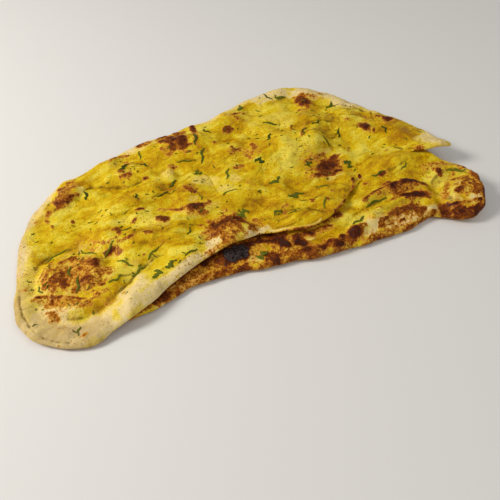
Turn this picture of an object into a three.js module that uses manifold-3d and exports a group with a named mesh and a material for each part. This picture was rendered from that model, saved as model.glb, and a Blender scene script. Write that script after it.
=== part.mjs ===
// A long buttered garlic naan with shredded coriander, in millimetres.
// X runs along its length, Y to its back edge and Z up; the table is at Z = 0.
// A broad flap of the bread lies over a lower layer, whose toasted edge shows in front.
// The two run into each other under the flap, so the bread is one solid.

import * as THREE from 'three';
import * as BufferGeometryUtils from 'three/addons/utils/BufferGeometryUtils.js';
import Module from 'manifold-3d';

const wasm = await Module();
wasm.setup();

// Driving sizes of the bread
const FLAP_THICKNESS = 5.2;
const LOWER_THICKNESS = 6.8;
const THINNEST = 2.4;
const SUNK_SHARE = 0.5;
const RIM_RADIUS = 5;
const RIM_MIDDLE = 0.45;
const FUSED_DEPTH = 1.2;
const SUPPORT_FALL = 26;

// The middle of the bread's length and width, which is set at the origin
const MIDDLE_X = -1.14;
const MIDDLE_Y = 0.52;

// The edge of each layer, walked from its left end along the front and along the back
const FLAP_FRONT = [
  [-200, -64], [-198, -83], [-184, -103], [-162, -113], [-138, -110], [-112, -102], [-86, -88],
  [-58, -76], [-28, -71], [-4, -67], [20, -74], [44, -76], [66, -66], [86, -49], [106, -38],
  [132, -33], [153, -28], [168, -33.5], [183, -38], [197, -34],
];
const FLAP_BACK = [
  [-200, -64], [-197, -38], [-190, -8], [-179, 24], [-163, 46], [-146, 60], [-128, 66], [-106, 75],
  [-78, 84], [-50, 88], [-22, 94], [12, 97], [42, 108], [70, 116], [98, 114], [122, 104],
  [142, 85], [156, 62], [168, 38], [182, 14], [192, -11], [197, -34],
];
const LOWER_FRONT = [
  [-136, -78], [-130, -100], [-108, -102], [-80, -92], [-52, -91], [-24, -93], [4, -97],
  [32, -102], [62, -102], [92, -104], [118, -101], [137, -97], [153, -107], [170, -113],
  [186, -104], [196, -81],
];
const LOWER_BACK = [
  [-136, -78], [-132, -50], [-120, -20], [-98, 8], [-70, 32], [-38, 52], [-4, 66], [30, 80],
  [62, 92], [92, 88], [118, 72], [138, 50], [152, 24], [164, 0], [175, -24], [184, -46],
  [194, -60], [196, -81],
];
// Small waves of an edge: times round the edge, size in mm, phase
const EDGE_WAVES = [[13, 0.7, 0.4], [23, 0.5, 2.1], [41, 0.3, 4.0]];

// Blisters and hollows: middle x and y, half length, half width, turn in degrees, height,
// and the share of the radius over which the side falls (1 is a round dome)
const FLAP_BUMPS = [
  [-155, -49, 31, 27, -12, 5.5, 0.45],
  [-163, -79, 27, 11, -8, 3.2, 0.8],
  [-105, -34, 32, 17, -18, 2.8, 0.7],
  [-130, 14, 52, 26, 22, -1.6, 0.9],
  [-88, 50, 27, 17, -25, 5.0, 0.9],
  [-51, 30, 11, 9, 0, 3.2, 1],
  [-36, 72, 22, 11, 10, 5.0, 0.8],
  [-142, 40, 20, 11, 38, 4.0, 0.8],
  [76, 38, 66, 46, -14, 8.0, 0.75],
  [70, 21, 36, 22, -18, 4.5, 0.6],
  [152, 12, 32, 24, -30, 2.5, 0.9],
  [34, -63, 22, 12, -12, 3.6, 0.8],
  [-26, -56, 25, 17, -8, 6.5, 0.65],
  [-46, -22, 15, 8, -18, 3.6, 0.9],
  [-75, -21, 10, 7, 0, 1.6, 1],
  [103, 79, 13, 10, -20, 2.4, 0.9],
  [138, 18, 9, 8, 0, 1.5, 1],
  [8, 46, 24, 15, 20, 2.6, 0.9],
  [0, 4, 40, 20, -20, -1.8, 0.9],
  [22, -40, 34, 14, -14, -2.0, 0.9],
];
const LOWER_BUMPS = [
  [142, -36, 46, 34, -20, 9.5, 1],
  [174, -88, 25, 21, -10, 4.4, 0.5],
  [67, -92, 12, 8, -15, 2.6, 0.8],
  [47, -97, 9, 6, -10, 1.6, 0.9],
  [28, -98, 9, 5, -5, 1.8, 0.9],
  [11, -86, 16, 6, -16, 1.8, 0.9],
  [-34, -79, 16, 6, -8, 1.4, 0.8],
  [140, -95, 9, 8, 0, 2.4, 0.9],
  [108, -45, 22, 12, -12, 2.2, 0.9],
];

// Folds and creases: start, middle and end of the line, half width, height
const FLAP_FOLDS = [
  [-184, -50, -164, -20, -124, -44, 4.5, -2.2],
  [-172, -88, -148, -94, -116, -76, 5, -2.6],
  [-116, -76, -92, -60, -66, -54, 6, -1.6],
  [-118, 42, -94, 32, -60, 37, 5, -2.2],
  [-108, 8, -74, 6, -30, 14, 8, 1.8],
  [-92, -8, -66, -12, -34, -24, 6, 1.6],
  [22, -13, 50, -22, 88, -35, 5, -3.0],
  [52, -18, 70, -22, 92, -29, 4.5, 1.8],
  [22, 62, 44, 52, 48, 12, 6, -2.2],
  [102, 34, 116, 16, 112, -18, 7, -2.4],
  [-60, -44, -40, -40, -8, -44, 5, -1.8],
  [118, 76, 150, 40, 172, 2, 6, -1.4],
];
const LOWER_FOLDS = [
  [150, -75, 128, -58, 90, -66, 5.5, 5.6],
  [146, -85, 122, -74, 88, -82, 4.5, 4.6],
  [136, -92, 104, -86, 70, -90, 5.5, 4.0],
  [158, -74, 156, -86, 152, -98, 6, -3.0],
  [160, -64, 180, -61, 194, -78, 4.5, 3.2],
  [160, -73, 176, -70, 188, -83, 3.5, -1.6],
  [-110, -93, -40, -84, 34, -92, 9, -1.6],
];

// Broad waves of the whole bread: length in mm, heading in degrees, height, phase
const BROAD_WAVES = [
  [118, 25, 0.8, 0.6], [84, 118, 0.6, 2.0], [57, 62, 0.5, 4.1], [38, 160, 0.4, 1.2],
  [29, 95, 0.3, 5.0],
];
const LOWER_WAVE_SHARE = 0.7;
// Rumples: shorter waves of the same columns, whose crests sway: length, size and phase of
// the sway along X and along Y
const RUMPLES = [[46, 20, 0.5, 0.9], [33, 128, 0.4, 2.7], [25, 75, 0.25, 5.2]];
const SWAY = [[97, 9, 0.4], [71, 7, 1.3]];

// Where the flap's front edge stands off the lower layer: x and the gap at the edge
const EDGE_GAP = [
  [-200, 0], [-128, 0.4], [-96, 2.4], [-60, 3.4], [-26, 4.4], [10, 3.0], [52, 2.8], [84, 2.0],
  [112, 0.2], [150, 0], [168, 1.6], [186, 3.4], [200, 4.2],
];
const GAP_DEPTH = 17;
// How far the flap's back edge curls up: x and the lift at the edge
const BACK_LIFT = [
  [-200, 0], [-150, 0], [-120, 2.4], [-60, 3.0], [0, 4.0], [60, 6.0], [110, 6.5], [160, 4.5],
  [186, 3.0], [200, 2.5],
];
const BACK_LIFT_DEPTH = 48;
// The roll of the flap's rim: x, height along the front and height along the back
const RIM_ROLL = [
  [-200, 1.6, 1.6], [-150, 2.6, 1.4], [-96, 3.2, 1.6], [-60, 1.2, 1.4], [0, 0.2, 1.0],
  [100, 0, 1.8], [160, 0, 1.2], [200, 0.4, 0.4],
];
const ROLL_DISTANCE = 9;
const ROLL_WIDTH = 8;
// The knob at the right end curls up off the table from this x
const KNOB_START = 138;
const KNOB_LENGTH = 60;
const KNOB_LIFT = 7;
// Where the flap's front edge runs smoothly into the lower layer: x and how fully
const EDGE_MERGE = [[-200, 0], [92, 0], [110, 1], [154, 1], [168, 0], [200, 0]];
const MERGE_DEPTH = 30;
const MERGED_THICKNESS = 0.6;
// How much thinner the flap is at its front edge: x and share
const EDGE_THINNING = [[-100, 0], [-62, 0.2], [-20, 0.45], [90, 0.45], [200, 0.3]];
const THINNING_DEPTH = 20;
// The underside: a nearly flat sole, low spots that meet the table, and shallow hollows
const REST_SPOTS = [[-168.0, 7.6], [117.9, 66.5], [128.7, -93.7]];
const REST_REACH = 20;
const SOLE_HEIGHT = 0.4;
const HOLLOW_WAVES = [[170, 10, 1.3, 3.6], [128, 100, 1.0, 4.2]];
const HOLLOW_OFFSET = -0.9;

// How finely the faces are divided
const OUTLINE_SAMPLES = 14;
// Rows of points between the two edges of a face: their distances from the front edge and
// from the back edge, how many lie between, and how much closer those are at the front
const FLAP_ROWS = { front: [0, 1.5, 5], back: [0, 1.5, 5], middle: 23, crowding: 1 };
const FLAP_UNDER_ROWS = { front: [0, 1.5, 5, 10, 17], back: [0, 1.5, 5, 15, 28], middle: 2 };
const LOWER_ROWS = { front: [0, 1.5, 5], back: [0, 1.5, 5], middle: 16, crowding: 1.4 };
const LOWER_UNDER_ROWS = { front: [0, 1.5, 5], back: [0, 1.5, 5], middle: 4 };
const FLAP_COLUMNS = 78;
const LOWER_COLUMNS = 62;
const WIDEST_RIMS = 0.8;
const CURVE_STEPS = 8;

// Coriander shreds
const SHRED_COUNT = 10;
const SHRED_SEED = 20;
const SHRED_LENGTH = [8, 14];
const SHRED_WIDTH = [1.7, 2.8];
const SHRED_THICKNESS = 2.4;
const SHRED_SUNK = 1.5;
const SHRED_STEPS = 3;
const SHRED_CLEARANCE = 12;
// Shreds that stand out: x, y, heading in degrees, length, width, bend in degrees
const SHREDS_SET = [
  [-152, -62, 75, 14, 2.6, 20], [-156, -46, 80, 13, 2.4, -16], [-180, -54, -80, 9, 2.2, 20],
  [-139, -30, -50, 18, 2.4, 30], [-164, -20, 25, 20, 1.8, -30], [-125, -69, 20, 12, 2.4, 30],
  [-107, -66, 25, 13, 2.4, -24], [-92, -54, 35, 14, 1.8, -18], [-95, -77, 60, 11, 4.0, 50],
  [-83, -74, 20, 10, 4.2, 60], [-65, -68, 20, 12, 2.2, 16], [-58, -42, 60, 11, 1.8, 10],
  [-66, 8, 15, 13, 1.8, 50], [-87, 12, 88, 10, 2.6, 10], [-126, 37, 85, 11, 3.0, 12],
  [-87, 58, 45, 13, 3.6, 14], [-69, 53, -60, 10, 2.8, 20], [-16, 65, 75, 16, 3.0, 14],
  [-17, 44, 65, 19, 2.8, -24], [-34, 43, -15, 14, 1.8, 20], [-28, 25, -60, 8, 4.2, 30],
  [-5, 11, 65, 12, 2.8, -14], [-12, -12, 5, 12, 1.8, 20], [-36, -8, 88, 8, 1.8, 10],
  [-10, -38, 10, 11, 4.6, 30], [-160, -101, 70, 9, 2.0, 10], [42, 97, 60, 10, 3.4, 20],
  [85, 97, -20, 12, 3.2, 120], [59, 62, -50, 15, 3.2, 16], [127, 68, 30, 10, 3.2, 20],
  [48, 40, 55, 11, 2.8, 20], [80, 33, 45, 13, 2.2, -20], [97, 39, 20, 11, 2.2, 60],
  [114, 25, 65, 12, 2.6, 10], [28, 15, -40, 9, 4.2, 20], [154, 9, 88, 10, 2.4, 20],
  [68, -3, 20, 8, 4.4, 30], [102, -16, -60, 9, 4.2, 30], [31, -13, 10, 12, 3.4, 30],
  [40, -36, 10, 15, 4.6, 40], [57, -56, 60, 14, 2.0, 10], [28, -56, 20, 11, 2.0, 60],
];
// Shreds on the lower layer: the same columns
const LOWER_SHREDS = [
  [118, -41, -4, 13, 2.6, 14], [100, -68, 12, 24, 2.0, -12], [76, -82, 20, 15, 3.2, 20],
  [-12, -84, 15, 11, 4.2, 50], [182, -66, -30, 15, 2.0, 40], [142, -44, 30, 9, 1.8, 10],
];

const clamp = (value) => Math.min(1, Math.max(0, value));
const smooth = (value) => clamp(value) ** 2 * (3 - 2 * clamp(value));
const radians = THREE.MathUtils.degToRad;

// A number read off a short table of x and values, straight between its rows
function along(table, x, column = 1) {
  let index = table.findIndex((row) => row[0] >= x);
  if (index < 0) index = table.length - 1;
  if (index === 0) return table[0][column];
  const [low, high] = [table[index - 1], table[index]];
  return THREE.MathUtils.lerp(low[column], high[column], clamp((x - low[0]) / (high[0] - low[0])));
}

function waves(table, x, y) {
  return table.reduce((sum, [length, heading, height, phase]) => {
    const turn = radians(heading);
    const run = (x * Math.cos(turn) + y * Math.sin(turn)) / length;
    return sum + height * Math.sin(2 * Math.PI * run + phase);
  }, 0);
}

// The relief that the whole bread shares
function swell(x, y) {
  const [swayX, swayY] = SWAY.map(([length, size, phase], axis) =>
    size * Math.sin((2 * Math.PI * (axis === 0 ? y : x)) / length + phase));
  return waves(BROAD_WAVES, x, y) + waves(RUMPLES, x + swayX, y + swayY);
}

function bump(x, y, [middleX, middleY, halfLength, halfWidth, turn, height, side]) {
  const [dx, dy, angle] = [x - middleX, y - middleY, radians(turn)];
  const across = (dx * Math.cos(angle) + dy * Math.sin(angle)) / halfLength;
  const up = (dy * Math.cos(angle) - dx * Math.sin(angle)) / halfWidth;
  return height * smooth((1 - Math.hypot(across, up)) / side);
}

function distanceToLine(x, y, line) {
  let nearest = Infinity;
  for (let index = 1; index < line.length; index += 1) {
    const [startX, startY] = line[index - 1];
    const [runX, runY] = [line[index][0] - startX, line[index][1] - startY];
    const length = runX * runX + runY * runY;
    const share = length > 0 ? clamp(((x - startX) * runX + (y - startY) * runY) / length) : 0;
    nearest = Math.min(nearest, Math.hypot(x - startX - share * runX, y - startY - share * runY));
  }
  return nearest;
}

// The parabola that passes through a fold's start, middle and end
function foldLine([x0, y0, x1, y1, x2, y2]) {
  return Array.from({ length: CURVE_STEPS + 1 }, (_, step) => {
    const t = step / CURVE_STEPS;
    const [first, second, third] = [(1 - t) * (1 - 2 * t), 4 * t * (1 - t), t * (2 * t - 1)];
    return [first * x0 + second * x1 + third * x2, first * y0 + second * y1 + third * y2];
  });
}

function folds(table) {
  const lines = table.map(foldLine);
  return (x, y) => table.reduce((sum, [, , , , , , width, height], index) => {
    const near = distanceToLine(x, y, lines[index]) / width;
    return sum + height * Math.exp(-near * near);
  }, 0);
}

const flapFolds = folds(FLAP_FOLDS);
const lowerFolds = folds(LOWER_FOLDS);
const relief = (bumps, foldsOf) => (x, y) =>
  bumps.reduce((sum, row) => sum + bump(x, y, row), 0) + foldsOf(x, y);
const flapRelief = relief(FLAP_BUMPS, flapFolds);
const lowerRelief = relief(LOWER_BUMPS, lowerFolds);

// The closed edge of a layer as two lines of points from its left end to its right end
function edges(front, back) {
  const ring = [...front, ...back.slice(1, -1).reverse()];
  const curve = new THREE.CatmullRomCurve3(
    ring.map(([x, y]) => new THREE.Vector3(x, y, 0)), true, 'catmullrom', 0.5);
  const count = ring.length * OUTLINE_SAMPLES;
  const points = Array.from({ length: count }, (_, index) => {
    const t = index / count;
    const [point, tangent] = [curve.getPoint(t), curve.getTangent(t)];
    const wave = EDGE_WAVES.reduce(
      (sum, [times, size, phase]) => sum + size * Math.sin(2 * Math.PI * times * t + phase), 0);
    return [point.x + wave * tangent.y, point.y - wave * tangent.x];
  });
  const corner = (front.length - 1) * OUTLINE_SAMPLES;
  return {
    ring: [...points, points[0]],
    front: points.slice(0, corner + 1),
    back: [points[0], ...points.slice(corner).reverse()],
  };
}

// The point at a share of the length of a line
function walk(line) {
  const lengths = [0];
  for (let index = 1; index < line.length; index += 1) {
    lengths.push(lengths[index - 1]
      + Math.hypot(line[index][0] - line[index - 1][0], line[index][1] - line[index - 1][1]));
  }
  return (share) => {
    const wanted = share * lengths.at(-1);
    let index = lengths.findIndex((length) => length >= wanted);
    if (index < 1) index = share > 0.5 ? line.length - 1 : 1;
    const part = clamp((wanted - lengths[index - 1]) / (lengths[index] - lengths[index - 1]));
    return [0, 1].map((axis) =>
      THREE.MathUtils.lerp(line[index - 1][axis], line[index][axis], part));
  };
}

function inside(x, y, ring) {
  let odd = false;
  for (let index = 1; index < ring.length; index += 1) {
    const [[x0, y0], [x1, y1]] = [ring[index - 1], ring[index]];
    if ((y0 > y) !== (y1 > y) && x < x0 + ((y - y0) / (y1 - y0)) * (x1 - x0)) odd = !odd;
  }
  return odd;
}

const flapEdges = edges(FLAP_FRONT, FLAP_BACK);
const lowerEdges = edges(LOWER_FRONT, LOWER_BACK);

// How far a point lies inside an edge, below zero outside it
function depthInside(x, y, ring) {
  return distanceToLine(x, y, ring) * (inside(x, y, ring) ? 1 : -1);
}

function tableFace(x, y) {
  const lift = KNOB_LIFT * smooth((x - KNOB_START) / KNOB_LENGTH);
  const spot = Math.min(...REST_SPOTS.map(([restX, restY]) => Math.hypot(x - restX, y - restY)));
  const away = smooth(spot / REST_REACH);
  return (SOLE_HEIGHT + Math.max(0, waves(HOLLOW_WAVES, x, y) + HOLLOW_OFFSET)) * away + lift;
}

function lowerTop(x, y) {
  const body = LOWER_THICKNESS + lowerRelief(x, y) + swell(x, y) * LOWER_WAVE_SHARE;
  return tableFace(x, y) + Math.max(THINNEST, body);
}

// The face that the flap lies on: the table or the top of the lower layer, and off it at
// the front edge and at the curled back edge
function flapSeat(x, y) {
  const table = tableFace(x, y);
  const carried = smooth(depthInside(x, y, lowerEdges.ring) / SUPPORT_FALL + 1);
  const parting = smooth(1 - distanceToLine(x, y, flapEdges.front) / GAP_DEPTH)
    * (1 - along(EDGE_MERGE, x));
  const curl = smooth(1 - distanceToLine(x, y, flapEdges.back) / BACK_LIFT_DEPTH);
  const rest = table + (lowerTop(x, y) - FUSED_DEPTH * (1 - parting) - table) * carried;
  return rest + along(EDGE_GAP, x) * parting + along(BACK_LIFT, x) * curl;
}

// Away from its edges the flap's underside sinks into the lower layer, as they are one piece
function flapUnder(x, y) {
  const [seat, table] = [flapSeat(x, y), tableFace(x, y)];
  const edge = smooth(1 - distanceToLine(x, y, flapEdges.ring) / GAP_DEPTH);
  const over = smooth(depthInside(x, y, lowerEdges.ring) / RIM_RADIUS);
  const sunk = Math.min(seat, table + LOWER_THICKNESS * SUNK_SHARE);
  return THREE.MathUtils.lerp(seat, sunk, over * (1 - edge));
}

function rimRoll(x, y) {
  const front = distanceToLine(x, y, flapEdges.front) - ROLL_DISTANCE;
  const back = distanceToLine(x, y, flapEdges.back) - ROLL_DISTANCE;
  const hill = (distance) => Math.exp(-((distance / ROLL_WIDTH) ** 2));
  return Math.max(along(RIM_ROLL, x, 1) * hill(front), along(RIM_ROLL, x, 2) * hill(back));
}

function flapTop(x, y) {
  const body = FLAP_THICKNESS + flapRelief(x, y) + swell(x, y) + rimRoll(x, y);
  const edge = distanceToLine(x, y, flapEdges.front);
  const thinned = body * (1 - along(EDGE_THINNING, x) * smooth(1 - edge / THINNING_DEPTH));
  const merged = 1 - along(EDGE_MERGE, x) * smooth(1 - edge / MERGE_DEPTH);
  return flapSeat(x, y) + Math.max(MERGED_THICKNESS, Math.max(THINNEST, thinned) * merged);
}

// Where the rows of a face cross a column of a given width, as shares of it
function rowShares(width, { front, back, middle, crowding = 1 }) {
  const scale = Math.min(1, (width * WIDEST_RIMS) / (front.at(-1) + back.at(-1))) / width;
  const [start, end] = [front.at(-1) * scale, 1 - back.at(-1) * scale];
  const between = Array.from({ length: middle }, (_, row) =>
    THREE.MathUtils.lerp(start, end, ((row + 1) / (middle + 1)) ** crowding));
  return [...front.map((step) => step * scale), ...between,
    ...[...back].reverse().map((step) => 1 - step * scale)];
}

// A layer of bread: columns go from the front edge to the back edge, and the two faces
// meet at half height round a rim that is rounded like a quarter circle
function layer(outline, top, under, columns, topRows, underRows) {
  const [front, back] = [walk(outline.front), walk(outline.back)];
  const positions = [];
  const faces = [];
  const place = (x, y, isTop) => {
    const near = clamp(distanceToLine(x, y, outline.ring) / RIM_RADIUS);
    const round = Math.sqrt(1 - (1 - near) ** 2);
    const [low, high] = [under(x, y), top(x, y)];
    const middle = low + (high - low) * RIM_MIDDLE;
    return THREE.MathUtils.lerp(middle, isTop ? high : low, round);
  };
  const add = (x, y, z) => positions.push(x, y, z) / 3 - 1;
  const left = add(...front(0), place(...front(0), true));
  const right = add(...front(1), place(...front(1), true));
  const columnEdges = [];
  for (let column = 1; column < columns; column += 1) {
    const [near, far] = [front(column / columns), back(column / columns)];
    columnEdges.push({ near, far,
      nearIndex: add(...near, place(...near, true)), farIndex: add(...far, place(...far, true)) });
  }
  const side = (rows, isTop) => {
    const grid = columnEdges.map(({ near, far, nearIndex, farIndex }) => {
      const width = Math.hypot(far[0] - near[0], far[1] - near[1]);
      const line = [nearIndex];
      rowShares(width, rows).slice(1, -1).forEach((share) => {
        const [x, y] = [0, 1].map((axis) => THREE.MathUtils.lerp(near[axis], far[axis], share));
        line.push(add(x, y, place(x, y, isTop)));
      });
      return [...line, farIndex];
    });
    const triangle = (a, b, c) => faces.push(...(isTop ? [a, b, c] : [a, c, b]));
    for (let row = 0; row < grid[0].length - 1; row += 1) {
      triangle(left, grid[0][row], grid[0][row + 1]);
      triangle(right, grid.at(-1)[row + 1], grid.at(-1)[row]);
      for (let column = 1; column < grid.length; column += 1) {
        const [before, here] = [grid[column - 1], grid[column]];
        triangle(before[row], here[row], here[row + 1]);
        triangle(before[row], here[row + 1], before[row + 1]);
      }
    }
  };
  side(topRows, true);
  side(underRows, false);
  return solid(positions, faces);
}

function solid(positions, faces) {
  return new wasm.Manifold(new wasm.Mesh({
    numProp: 3,
    vertProperties: new Float32Array(positions),
    triVerts: new Uint32Array(faces),
  }));
}

// A shred is a thin strip that bends along its length and follows the bread under it
function shred([x, y, heading, length, width, bend], surface) {
  const positions = [];
  const faces = [];
  for (let step = 0; step <= SHRED_STEPS; step += 1) {
    const share = step / SHRED_STEPS - 0.5;
    const turn = radians(heading + bend * share);
    const lean = radians(heading + bend * share * 0.5);
    const middle = [x + length * share * Math.cos(lean), y + length * share * Math.sin(lean)];
    const half = (width / 2) * (0.55 + 0.45 * Math.cos(Math.PI * share));
    for (const side of [-1, 1]) {
      const [px, py] = [middle[0] - side * half * Math.sin(turn),
        middle[1] + side * half * Math.cos(turn)];
      const base = surface(px, py) - SHRED_SUNK;
      positions.push(px, py, base, px, py, base + SHRED_THICKNESS);
    }
  }
  const quad = (a, b, c, d) => faces.push(a, b, c, a, c, d);
  for (let step = 0; step < SHRED_STEPS; step += 1) {
    const [a, b] = [4 * step, 4 * step + 4];
    quad(a, a + 2, b + 2, b);
    quad(a + 1, b + 1, b + 3, a + 3);
    quad(a, b, b + 1, a + 1);
    quad(a + 2, a + 3, b + 3, b + 2);
  }
  const last = 4 * SHRED_STEPS;
  quad(0, 1, 3, 2);
  quad(last, last + 2, last + 3, last + 1);
  return solid(positions, faces);
}

// A seeded run of numbers from 0 to 1
function drawer(seed) {
  let state = seed;
  return () => {
    state = (state * 16807) % 2147483647;
    return state / 2147483647;
  };
}

// The loose shreds fall evenly over the flap, clear of its rim and of each other
function scatteredShreds() {
  const draw = drawer(SHRED_SEED);
  const between = ([low, high]) => low + (high - low) * draw();
  const laid = [...SHREDS_SET];
  while (laid.length < SHREDS_SET.length + SHRED_COUNT) {
    const row = [between([-195, 195]), between([-110, 110]), between([-90, 90]),
      between(SHRED_LENGTH), between(SHRED_WIDTH), between([-50, 50])];
    const clear = laid.every(([x, y]) => Math.hypot(x - row[0], y - row[1]) > SHRED_CLEARANCE);
    if (clear && depthInside(row[0], row[1], flapEdges.ring) > SHRED_CLEARANCE) laid.push(row);
  }
  return laid;
}

// The bread and its shreds become one solid
function bread() {
  const flap = layer(
    flapEdges, flapTop, flapUnder, FLAP_COLUMNS, FLAP_ROWS, FLAP_UNDER_ROWS);
  const lower = layer(
    lowerEdges, lowerTop, tableFace, LOWER_COLUMNS, LOWER_ROWS, LOWER_UNDER_ROWS);
  const pieces = [
    ...scatteredShreds().map((row) => shred(row, flapTop)),
    ...LOWER_SHREDS.map((row) => shred(row, lowerTop)),
  ];
  const whole = pieces.reduce((sum, piece) => sum.add(piece), flap.add(lower));
  // The outer skin alone, so that no pocket stays sealed between the layers
  const skins = whole.decompose();
  const outer = skins.reduce((best, skin) => (skin.volume() > best.volume() ? skin : best));
  const mesh = outer.getMesh();
  const geometry = new THREE.BufferGeometry();
  geometry.setAttribute('position', new THREE.BufferAttribute(mesh.vertProperties, 3));
  geometry.setIndex(new THREE.BufferAttribute(mesh.triVerts, 1));
  return BufferGeometryUtils.mergeVertices(geometry);
}

const naan = new THREE.Mesh(bread(), new THREE.MeshStandardMaterial({
  color: 0xd6b52c, roughness: 0.55, metalness: 0,
}));
naan.name = 'naan';
naan.position.set(-MIDDLE_X, -MIDDLE_Y, 0);

const group = new THREE.Group();
group.add(naan);

export default group;
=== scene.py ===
"""A long buttered garlic naan with shredded coriander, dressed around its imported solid."""
import logging
import math
from dataclasses import dataclass
from enum import Enum
from typing import Any, Callable, ClassVar, Sequence

import bpy
import numpy as np
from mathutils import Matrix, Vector


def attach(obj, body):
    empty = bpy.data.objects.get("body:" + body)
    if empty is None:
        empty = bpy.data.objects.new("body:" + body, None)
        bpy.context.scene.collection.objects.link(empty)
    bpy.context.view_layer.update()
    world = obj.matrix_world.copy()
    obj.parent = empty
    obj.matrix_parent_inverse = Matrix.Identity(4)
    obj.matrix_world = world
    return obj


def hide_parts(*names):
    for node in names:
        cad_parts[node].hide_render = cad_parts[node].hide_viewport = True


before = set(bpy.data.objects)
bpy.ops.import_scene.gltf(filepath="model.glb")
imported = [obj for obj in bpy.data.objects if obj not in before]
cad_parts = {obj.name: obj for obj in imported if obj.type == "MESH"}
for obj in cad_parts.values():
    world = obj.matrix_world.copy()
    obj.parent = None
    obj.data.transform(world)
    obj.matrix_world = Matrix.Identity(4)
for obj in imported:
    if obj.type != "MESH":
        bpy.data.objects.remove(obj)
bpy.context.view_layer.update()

MM = 0.001
NODE = "naan"
BODY = "root"
# The middle of the bread's length and width in mm, which is set at the origin
MIDDLE_X = -1.14
MIDDLE_Y = 0.52
Array = np.ndarray
Colour = tuple[float, float, float]
Height = Callable[[Array, Array], Array]
# A colour laid over another, and the levels between which it comes in
Step = tuple[Colour, float, float]

log = logging.getLogger("naan")


class Slot(Enum):
    """The record's material slots."""
    BREAD = "baked_bread"
    CORIANDER = "coriander"


class Face(Enum):
    """The two faces of a layer of bread."""
    TOP = 1
    UNDER = -1


def smooth(value: Array) -> Array:
    """Ease from 0 to 1: three times the square less twice the cube."""
    held = np.clip(value, 0.0, 1.0)
    return held * held * (3.0 - 2.0 * held)


def linear(share: float) -> float:
    """Turn a screen channel of 0 to 1 into linear light."""
    return share / 12.92 if share <= 0.04045 else ((share + 0.055) / 1.055) ** 2.4


def srgb(red: int, green: int, blue: int) -> Colour:
    """Turn a screen colour of 0 to 255 into linear light."""
    return linear(red / 255.0), linear(green / 255.0), linear(blue / 255.0)


@dataclass(frozen=True)
class Blister:
    """A blister or hollow on an oval foot, in mm, turned in degrees.

    Its side rises over a share of the radius: 1 is a round dome and 0.4 a plateau.
    """
    x: float
    y: float
    half_length: float
    half_width: float
    turn: float
    height: float
    side: float

    def radius(self, x: Array, y: Array) -> Array:
        """Distance from the middle, measured along the oval's own axes.

        Args:
            x: Places along X.
            y: Places along Y.

        Returns:
            The distance as a share of the oval's radius.
        """
        angle = math.radians(self.turn)
        across = (x - self.x) * math.cos(angle) + (y - self.y) * math.sin(angle)
        up = (y - self.y) * math.cos(angle) - (x - self.x) * math.sin(angle)
        return np.hypot(across / self.half_length, up / self.half_width)

    def rise(self, x: Array, y: Array) -> Array:
        """Height times the ease of the share of the way in from the foot."""
        return self.height * smooth((1.0 - self.radius(x, y)) / self.side)


@dataclass(frozen=True)
class Fold:
    """A fold or crease along the parabola through three points, in mm."""
    start: tuple[float, float]
    middle: tuple[float, float]
    end: tuple[float, float]
    width: float
    height: float
    steps: int = 8

    def line(self) -> Array:
        """Follow the parabola: each of the three points weighed by its quadratic share.

        Returns:
            Places along it, one a row.
        """
        t = np.linspace(0.0, 1.0, self.steps + 1)[:, None]
        return ((1 - t) * (1 - 2 * t) * np.array(self.start)
                + 4 * t * (1 - t) * np.array(self.middle)
                + t * (2 * t - 1) * np.array(self.end))

    def near(self, x: Array, y: Array) -> Array:
        """Nearness to the line: the bell curve of the distance over the width."""
        return np.exp(-(distance_to_line(x, y, self.line()) / self.width) ** 2)

    def rise(self, x: Array, y: Array) -> Array:
        """Height times nearness."""
        return self.height * self.near(x, y)


@dataclass(frozen=True)
class Wave:
    """A broad wave: its length in mm, heading in degrees, height and phase."""
    length: float
    heading: float
    height: float
    phase: float

    def rise(self, x: Array, y: Array) -> Array:
        """Height times the sine of the way along the heading.

        Args:
            x: Places along X.
            y: Places along Y.

        Returns:
            The wave's height.
        """
        turn = math.radians(self.heading)
        run = (x * math.cos(turn) + y * math.sin(turn)) / self.length
        return self.height * np.sin(2 * math.pi * run + self.phase)


def total(forms: Sequence[Blister | Fold | Wave], x: Array, y: Array) -> Array:
    """The sum of what each form raises."""
    return sum((form.rise(x, y) for form in forms), np.zeros_like(x))


def distance_to_line(x: Array, y: Array, line: Array) -> Array:
    """Least distance from each point to a line of points.

    For each stretch the point's foot is held between the stretch's ends.

    Args:
        x: Places along X, of any shape.
        y: Places along Y, of the same shape.
        line: The line's points, one row each.

    Returns:
        The distances, in the shape of x.
    """
    nearest = np.full(x.shape, np.inf)
    for start, end in zip(line[:-1], line[1:]):
        run = end - start
        squared = max(float(run @ run), 1e-12)
        share = np.clip(((x - start[0]) * run[0] + (y - start[1]) * run[1]) / squared, 0, 1)
        gap = (x - start[0] - share * run[0]) ** 2 + (y - start[1] - share * run[1]) ** 2
        nearest = np.minimum(nearest, gap)
    return np.sqrt(nearest)


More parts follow.
